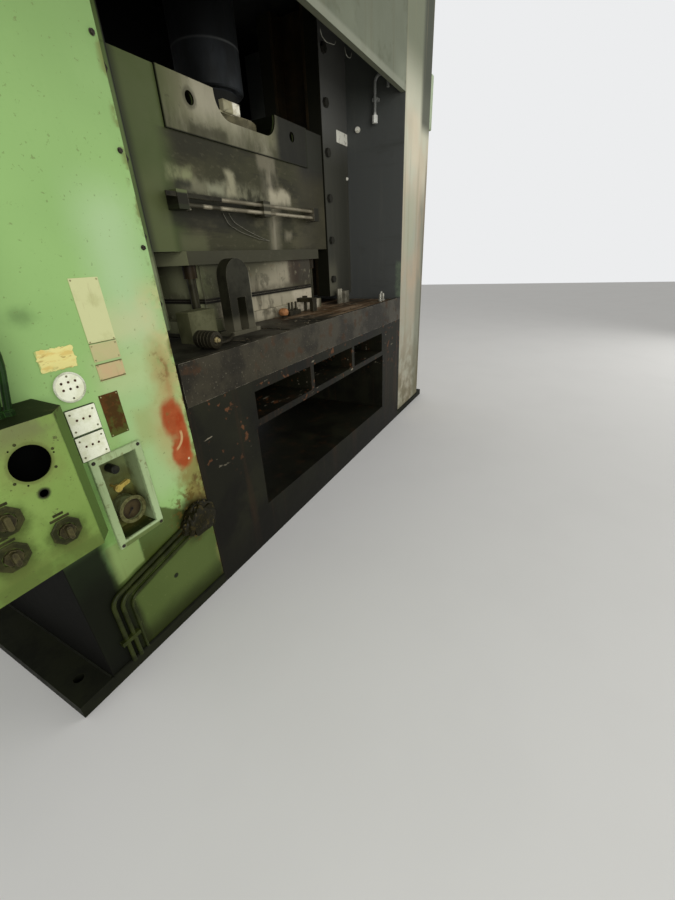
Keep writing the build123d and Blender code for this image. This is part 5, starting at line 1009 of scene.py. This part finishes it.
def dressPlates():
    y = sockets["plateFront"]
    rivets = []
    inset = sockets["rivetInset"]
    for x, z, wide, tall in sockets["plates"]:
        dx, dz = wide / 2 - inset, tall / 2 - inset
        corners = [(x + sx * dx, y, z + sz * dz) for sx in (-1, 1) for sz in (-1, 1)]
        rivets += [screwHead(corner, sockets["rivet"], rise=0.6) for corner in corners]
    piece("plateRivets", rivets, ("rivets", (150, 146, 100), (90, 84, 50), 0.5, 0.3, 60.0))
    # torn paper label: an outline that wavers with the angle
    x, z, halfWide, halfTall = sockets["label"]
    angle = np.linspace(0, 2 * np.pi, 64, endpoint=False)
    c, s = np.cos(angle), np.sin(angle)
    square = 1 / np.maximum(np.abs(c) / halfWide, np.abs(s) / halfTall)
    tear = square * (1 - 0.10 * np.abs(np.sin(5 * angle + 0.6)) - 0.07 * np.abs(np.sin(13 * angle + 1.1)))
    outline = np.stack((tear * c, tear * s), -1)
    paper = [slab(outline, ((0, -0.0002), (0.0, 0.0004), (0.001, 0.0008)), (x, y, z))]
    look = Look("tornLabel", (222, 212, 138), 0.6)
    look.layer(look.noise(20.0, 6.0, (1, 1, 3.0), 1.0).rise(0.46, 0.62) * 0.7, (210, 180, 98), 0.6)
    look.layer(look.noise(26.0, 5.0, (1, 1, 3.5), 3.0).rise(0.58, 0.64) * 0.7, (160, 132, 64), 0.7)
    look.layer(look.noise(18.0, 5.0, shift=6.0).rise(0.60, 0.68) * 0.6, (196, 206, 140), 0.6)
    piece("tornLabel", paper, look.done())
    # rings round the sockets, screws and dark gaskets behind the two square ones
    front = sockets["socketFront"]
    roundX, roundZ = sockets["round"]
    squareX = sockets["squareX"]
    high, low = sockets["squareZ"]
    profile = [(0.046, 0.002), (0.0495, 0.002), (0.0495, -0.001), (0.046, -0.0022), (0.0435, -0.001),
               (0.0435, 0.002), (0.046, 0.002)]
    ring = [turned(profile, (roundX, front, roundZ), "y", 48)]
    piece("socketRing", ring, ("ringWhite", (206, 208, 184), (140, 146, 108), 0.4, 0.0, 30.0))
    gaskets = [slab(roundedBox(0.104, 0.094, 0.006), ((0, 0), (0, 0.003)), (squareX, -0.780, z))
               for z in (high, low)]
    piece("socketGaskets", gaskets, ("gasket", (42, 50, 26), (28, 32, 18), 0.7, 0.0, 30.0))
    places = [(squareX + dx, z + dz) for z in (high, low) for dz in (0.030, -0.030) for dx in (-0.038, 0.038)]
    places += [(roundX, roundZ + dz) for dz in (0.036, -0.036)]
    screws = [screwHead((x, front, z), sockets["screw"]) for x, z in places]
    pins = [(roundX + dx, roundZ + 0.006 + dz) for dx in (-0.022, 0, 0.022) for dz in (-0.011, 0.011)]
    pins += [(squareX + dx, z + 0.006) for z in (high, low) for dx in (-0.022, 0, 0.022)]
    discs = [peg((x, front + 0.0028, z), 0.0044, 0, -0.0012, None, "y") for x, z in pins]
    piece("socketPins", discs, ("pinBrown", (74, 44, 24), (40, 24, 14), 0.6, 0.1, 60.0))
    piece("socketScrews", screws, ("socketScrew", (110, 108, 78), (60, 56, 36), 0.5, 0.3, 40.0))


def dressConsole():
    y, top = console["front"], console["top"]
    dark = simple("consoleDark", (36, 38, 16), (60, 60, 30), 0.5, 0.0, 40.0, (88, 92, 52)).done()
    rings, labels = [], []
    inner, outer = console["ringInner"], console["ringOuter"]
    profile = [(inner, 0.001), (outer, 0.001), (outer, -0.003), (outer - 0.003, -0.005), (inner, -0.005),
               (inner, 0.001)]
    for x, z in console["knobs"]:
        rings.append(turned(profile, (x, y, z), "y", 8))
        labels += [block((x - 0.004, y, z + up), wide, 0.008, 0.0015, edge=0.0005, corner=0.001)
                   for up, wide in ((0.046, 0.052), (0.059, 0.028))]
    piece("knobRings", rings, dark)
    piece("consoleLabels", labels, dark)
    x, z = console["gaugeHole"]
    reach = console["screwCircle"]
    screws = [screwHead((x + reach * np.cos(a), y, z + reach * np.sin(a)), 0.004)
              for a in np.radians((15, 105, 215, 325))]
    piece("consoleScrews", screws, dark)
    x, hingeFront, heights = console["hinges"]
    hinges = [peg((x, hingeFront, z), 0.006, -0.04, 0.04) for z in heights]
    piece("consoleHinges", hinges, dark)
    # three more conduits close to the upright's edge, each bent back to its side
    x, y = console["sideConduit"]
    side = []
    for step in console["sideSteps"]:
        foot = (x + step, y, top)
        corners = [foot, (x + step + 0.038, y, top + 0.170), (x + step + 0.005, y + 0.015, top + 0.310),
                   (x - 0.008, y + 0.165, top + 0.390 - step)]
        side += [tube(bent(corners, 0.06), 0.0095), peg(foot, 0.016, 0, 0.016, (0.004, 0.004), "z", 6)]
    piece("sideConduits", side, ("sideConduitGreen", (24, 50, 12), (14, 30, 6), 0.4, 0.0, 14.0,
                                 (52, 96, 32)))
    collar = [(0, 0), (0.027, 0), (0.027, 0.010), (0.023, 0.012), (0.023, 0.030), (0.018, 0.034), (0, 0.034)]
    nuts = [turned(collar, (x, y, top), "z", 6) for x, y in console["conduits"]]
    piece("conduitNuts", nuts, ("nutGreen", (52, 70, 34), (34, 42, 22), 0.5, 0.1, 30.0))


inner = {"edgeX": -1.352, "edgeBolts": (2.19, 1.91, 1.63), "plate": (1.230, -0.260, 2.458),
         "fitting": (1.330, -0.365, 2.516), "bolt": (1.302, -0.260, 2.183), "wirePlane": -0.690,
         "wires": (((0.180, 2.700), (0.186, 2.676), (0.240, 2.664), (0.349, 2.684), (0.356, 2.700)),
                   ((0.474, 2.712), (0.480, 2.690), (0.508, 2.675), (0.559, 2.684), (0.566, 2.712)))}


def dressInterior():
    # small bolts on the left upright's inner edge
    bolts = []
    for z in inner["edgeBolts"]:
        bolts += hexBolt((inner["edgeX"], -0.780, z), 0.013)
    piece("edgeBolts", bolts, boltLook)
    # white plate and bright fittings on the right guide housing
    plate = [slab(roundedBox(0.190, 0.082, 0.006), ((0, 0), (0, 0.003), (0.001, 0.004)), inner["plate"])]
    look = Look("dirtyWhite", (240, 238, 222), 0.5)
    look.layer(look.noise(24.0, 5.0).rise(0.50, 0.62) * 0.7, (150, 146, 124), 0.6)
    piece("housingPlate", plate, look.done())
    brightLook = simple("brightFitting", (238, 236, 222), (190, 186, 166), 0.4, 0.0, 30.0,
                        (244, 243, 232)).done()
    profile = [(0, 0), (0.022, 0), (0.022, -0.012), (0.014, -0.014), (0.014, -0.030), (0, -0.032)]
    fitting = [turned(profile, inner["fitting"], "x", 12)]
    piece("oilFitting", fitting, brightLook)
    # two thin wires that hang in shallow loops under the crown
    loops = [tube(bent([(x, inner["wirePlane"], z) for x, z in wire], 0.02), 0.0017, 6)
             for wire in inner["wires"]]
    piece("hangingWires", loops, ("wireDull", (112, 111, 98), (70, 68, 58), 0.5, 0.2, 30.0))
    piece("brightBolt", hexBolt(inner["bolt"], 0.020), brightLook)


slideWork = {"front": -0.250, "strip": (-0.605, -0.3215, 1.889), "lug": (-0.622, 1.842), "wireRadius": 0.0018,
             "wireSteps": ((0.0, 0.0), (-0.05, -0.014))}


def dressSlide():
    dark = simple("bracketDark", (42, 40, 28), (26, 25, 18), 0.5, 0.2, 16.0, (104, 100, 80)).done()
    y = slideWork["front"]
    # dark strip in front of the bars' left end
    strip = [block(slideWork["strip"], 0.390, 0.022, 0.008, corner=0.004)]
    piece("barStrip", strip, dark, "slide")
    x, z = slideWork["lug"]
    lug = [block((x, y, z), 0.052, 0.020, 0.022, edge=0.003)]
    piece("barLug", lug, ("brightWear", (190, 186, 164), (120, 114, 92), 0.3, 0.6, 30.0), "slide")
    # two thin wires that hang off the bars
    wires = []
    for dx, dz in slideWork["wireSteps"]:
        corners = [(-0.290 + dx, y - 0.006, 1.835), (-0.255 + dx, y - 0.007, 1.790 + dz),
                   (-0.150 + dx, y - 0.008, 1.750 + dz), (-0.020, y - 0.007, 1.713 + dz),
                   (0.090, y - 0.005, 1.690)]
        wires.append(tube(bent(corners, 0.025), slideWork["wireRadius"], 6))
    piece("slideWires", wires, ("slideWireDull", (104, 102, 86), (62, 60, 48), 0.5, 0.2, 30.0), "slide")
    # block on the ring that keeps the plunger's neck from turning
    look = simple("ringBlock", (240, 236, 214), (196, 188, 158), 0.4, 0.0, 30.0, (246, 243, 226))
    look.layer(look.x.rise(-0.100, -0.112) * 0.85, (138, 132, 96), 0.5)
    keeper = [block((-0.110, -0.205, 2.374), 0.140, 0.058, 0.035, "xz", 0.005),
              block((-0.110, -0.190, 2.342), 0.180, 0.060, 0.010, "xy", 0.002)]
    piece("ringKeeper", keeper, look.done(), "slide")


tooling = {"bolster": 1.187, "knob": (0.060, -0.335), "strap": (0.185, -0.335),
           "studs": (0.135, 0.175, 0.225), "drum": (-0.985, -0.650, 0.045),
           "drumHoops": (-0.01, 0.012, 0.034, 0.056), "hoseLift": 0.012,
           "hose": ((-0.942, -0.62), (-0.84, -0.62), (-0.74, -0.55), (-0.66, -0.49)),
           "sideSpacer": (-0.830, -0.400), "spacer": (1.035, -0.325), "pins": (0.930, 0.972),
           "fittings": (1.120, 1.185), "fittingsY": -0.660, "chips": 70, "chipSeed": 11, "chipRadius": 0.0017}


def dressTooling():
    top = tooling["bolster"]
    dark = simple("toolDark", (48, 44, 32), (30, 28, 20), 0.5, 0.3, 14.0, (112, 106, 84)).done()
    # orange knob on its stem, in front of the lower die
    x, y = tooling["knob"]
    profile = [(0, 0), (0.030, 0.002), (0.037, 0.016), (0.037, 0.030), (0.028, 0.044), (0.012, 0.050),
               (0, 0.050)]
    knob = [turned(profile, (x, y, top + 0.012), "z", 28)]
    look = Look("knobOrange", (176, 122, 78), 0.45)
    look.layer(look.noise(30.0, 5.0).rise(0.45, 0.62) * 0.8, (120, 84, 52), 0.6)
    piece("tableKnob", knob, look.done())
    profile = [(0, 0), (0.020, 0), (0.020, 0.006), (0.009, 0.008), (0.009, 0.014), (0, 0.014)]
    stem = [turned(profile, (x, y, top), "z", 20)]
    # strap with studs and nuts beside it
    x, y = tooling["strap"]
    strap = [block((x, y, top), 0.150, 0.050, 0.034, "xy", 0.004, 0.010)]
    for x in tooling["studs"]:
        strap += [peg((x, y, top), 0.008, 0.030, 0.092, (0.002, 0.004)),
                  peg((x, y, top), 0.016, 0.034, 0.047, (0.002, 0.003), "z", 6)]
    piece("tableStrap", stem + strap, dark)
    # round cylinder lying at the stand's foot, its end towards the front
    x, y, lift = tooling["drum"]
    place = (x, y, top + lift)
    profile = [(0, 0.10), (0.030, 0.10), (0.038, 0.090), (0.043, 0.082), (0.043, -0.022), (0.040, -0.030),
               (0.025, -0.033), (0.022, -0.028), (0.010, -0.028), (0.009, -0.038), (0, -0.038)]
    drum = [turned(profile, place, "y", 32)]
    drum += [hoop((x, y + step, top + lift), 0.0427, 0.0013, "y", 32) for step in tooling["drumHoops"]]
    drum += [tube(bent([(x, y, top + tooling["hoseLift"]) for x, y in tooling["hose"]], 0.03), 0.009)]
    spacer = [block((*tooling["sideSpacer"], top), 0.190, 0.100, 0.160, "xy", 0.004, 0.008)]
    piece("sideSpacer", spacer, ("spacerOlive", (98, 98, 70), (70, 70, 46), 0.5, 0.1, 9.0, (130, 130, 100)))
    piece("footCylinder", drum, dark)
    profile = [(0, -0.026), (0.015, -0.026), (0.015, -0.036), (0.010, -0.042), (0.010, -0.048),
               (0.007, -0.051), (0, -0.051)]
    piece("footFitting", [turned(profile, place, "y", 6)],
          ("brassFitting", (176, 160, 112), (110, 98, 64), 0.35, 0.3, 30.0, (220, 210, 168)))
    # light spacer block and pins to the right of the dies
    x, y = tooling["spacer"]
    spacer = [block((x, y, top), 0.085, 0.085, 0.100, "xy", 0.004, 0.006)]
    spacer += [peg((x, y - 0.005, top), 0.016, 0, 0.124, (0.004, 0.006), "z", 20) for x in tooling["pins"]]
    piece("tableSpacers", spacer, ("spacerGrey", (124, 120, 104), (74, 70, 56), 0.4, 0.4, 14.0,
                                   (190, 186, 168)))
    # two bright fittings near the right end of the front rail
    profile = [(0, 0), (0.020, 0), (0.020, 0.012), (0.013, 0.014), (0.013, 0.060), (0.009, 0.064), (0, 0.064)]
    (first, last), y = tooling["fittings"], tooling["fittingsY"]
    fittings = [turned(profile, (x, y, top), "z", 16) for x in (first, last)]
    corners = [(first, y, top + 0.05), (first + 0.030, y, top + 0.085), (last, y, top + 0.05)]
    fittings += [tube(bent(corners, 0.02), 0.006, 8)]
    piece("railFittings", fittings, ("fittingBright", (176, 174, 160), (96, 92, 76), 0.3, 0.6, 30.0))
    # swarf and chips on the bolster: short curled rods scattered by a fixed seed
    random = np.random.default_rng(tooling["chipSeed"])
    ranges = ((-1.25, 1.1), (-0.69, -0.43), (0, 6.28), (0.008, 0.028))
    chips = []
    for x, y, turn, size in zip(*[random.uniform(low, high, tooling["chips"]) for low, high in ranges]):
        # none under the stand and the things at its foot
        if -0.70 < x < -0.43 or x < -0.78 and y < -0.46:
            continue
        t = np.linspace(-1, 1, 6)[:, None]
        path = np.hstack((x + size * (t * np.cos(turn) - 0.4 * t ** 2 * np.sin(turn)),
                          y + size * (t * np.sin(turn) + 0.4 * t ** 2 * np.cos(turn)),
                          top + 0.0016 + 0 * t))
        chips.append(tube(path, tooling["chipRadius"], 5))
    piece("tableChips", chips, ("chipSteel", (110, 100, 78), (54, 46, 34), 0.4, 0.5, 30.0))


welds = {"inside": 1.334, "outside": 1.978, "front": -0.783, "height": 0.062, "standOff": 0.004,
         "halfDepth": 0.77}


def dressWelds():
    # beads along the feet, at the front and on the outer sides
    z = welds["height"]
    beads = []
    for side in (-1, 1):
        near, far = side * welds["inside"], side * welds["outside"]
        beads.append(bead((near, welds["front"], z), (far, welds["front"], z)))
        far += side * welds["standOff"]
        beads.append(bead((far, -welds["halfDepth"], z), (far, welds["halfDepth"], z)))
    look = simple("weldPaint", (20, 22, 10), (12, 13, 6), 0.65, 0.0, 12.0, (28, 31, 16)).done()
    piece("footWelds", beads, look)


unit = {"bolt": 0.012, "boltEnd": 0.04, "boltInset": 0.025, "boltsLong": 6, "boltsDeep": 3,
        "glass": (0.25, 0.23), "glassBolt": 0.103, "plug": (0.15, 0.06), "eyeInset": 0.12, "screwInset": 0.02}


def dressUnit():
    # bolts round the tank's lid, sight glass, lifting eyes, drain plug
    low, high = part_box("tank_lid")
    z = high.z
    end, inset = unit["boltEnd"], unit["boltInset"]
    xs = np.linspace(low.x + end, high.x - end, unit["boltsLong"])
    ys = np.linspace(low.y + end, high.y - end, unit["boltsDeep"] + 2)[1:-1]
    places = [(x, y) for x in xs for y in (low.y + inset, high.y - inset)]
    places += [(x, y) for y in ys for x in (low.x + inset, high.x - inset)]
    bolts = []
    for x, y in places:
        bolts += hexBolt((x, y, z), unit["bolt"], "z", 1)
    piece("lidBolts", bolts, boltLook)
    tankLow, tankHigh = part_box("oil_tank")
    x, y, middle = tankLow.x + unit["glass"][0], tankLow.y, tankLow.z + unit["glass"][1]
    rows = ((0, 0), (0, 0.012), (0.004, 0.016), (0.012, 0.016), (0.013, 0.011))
    glass = [slab(roundedBox(0.044, 0.230, 0.021, 8), rows, (x, y, middle))]
    piece("sightGlass", glass, ("gaugeGlass", (196, 190, 150), (130, 116, 70), 0.12, 0.0, 20.0))
    plugs = hexBolt((tankHigh.x - unit["plug"][0], y, tankLow.z + unit["plug"][1]), 0.034)
    for dz in (unit["glassBolt"], -unit["glassBolt"]):
        plugs += hexBolt((x, y - 0.012, middle + dz), 0.016)
    piece("tankPlugs", plugs, boltLook)
    eyes = []
    inset = unit["eyeInset"]
    for ex, ey in ((tankLow.x + inset, tankHigh.y - inset), (tankHigh.x - inset, tankLow.y + inset)):
        eyes += [hoop((ex, ey, z + 0.026), 0.017, 0.005),
                 peg((ex, ey, z), 0.020, 0, 0.010, (0.012, 0.005), "z", 20)]
    piece("liftingEyes", eyes, boltLook)
    # cap screws on the valve block, terminal box on the motor
    low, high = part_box("valve_block")
    inset = unit["screwInset"]
    screws = [screwHead((x, y, high.z), 0.008, "z", 1) for x in (low.x + inset, high.x - inset)
              for y in (low.y + inset, high.y - inset)]
    piece("blockScrews", screws, boltLook)
    low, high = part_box("motor_body")
    box = [block(((low.x + high.x) / 2, low.y, (low.z + high.z) / 2), 0.14, 0.11, 0.05, "xz", 0.006, 0.010)]
    piece("motorTerminals", box, ("terminalBox", (84, 100, 100), (54, 60, 56), 0.45, 0.1, 12.0))


dressRecess()
dressPipes()
dressPlates()
dressConsole()
print("controls dressed")
dressInterior()
dressSlide()
dressTooling()
print("slide and tooling dressed")
dressWelds()
dressUnit()
print("welds and hydraulic unit dressed")


def makeStage():
    half = stage["floorSize"] / 2
    mesh = bpy.data.meshes.new("studioFloor")
    low = -stage["floorDrop"]
    mesh.from_pydata([(-half, -half, low), (half, -half, low), (half, half, low), (-half, half, low)],
                     [], [(0, 1, 2, 3)])
    floor = bpy.data.objects.new("studioFloor", mesh)
    bpy.context.scene.collection.objects.link(floor)
    look = Look("studioFloor", stage["floorColour"], 0.8)
    look.layer(look.noise(1.5, 3.0).rise(0.4, 0.7) * 0.15, (214, 213, 209))
    mesh.materials.append(look.done())
    world = bpy.data.worlds.new("studioWorld")
    bpy.context.scene.world = world
    world.use_nodes = True
    tree = world.node_tree
    tree.nodes.clear()
    ray = tree.nodes.new("ShaderNodeLightPath")
    shown = tree.nodes.new("ShaderNodeBackground")
    shown.inputs[0].default_value = tone(*stage["skyColour"])
    lit = tree.nodes.new("ShaderNodeBackground")
    lit.inputs[0].default_value = (1.0, 1.0, 1.0, 1.0)
    lit.inputs[1].default_value = stage["worldStrength"]
    mix = tree.nodes.new("ShaderNodeMixShader")
    out = tree.nodes.new("ShaderNodeOutputWorld")
    tree.links.new(ray.outputs["Is Camera Ray"], mix.inputs[0])
    tree.links.new(lit.outputs[0], mix.inputs[1])
    tree.links.new(shown.outputs[0], mix.inputs[2])
    tree.links.new(mix.outputs[0], out.inputs[0])


makeStage()
print("floor and world made")
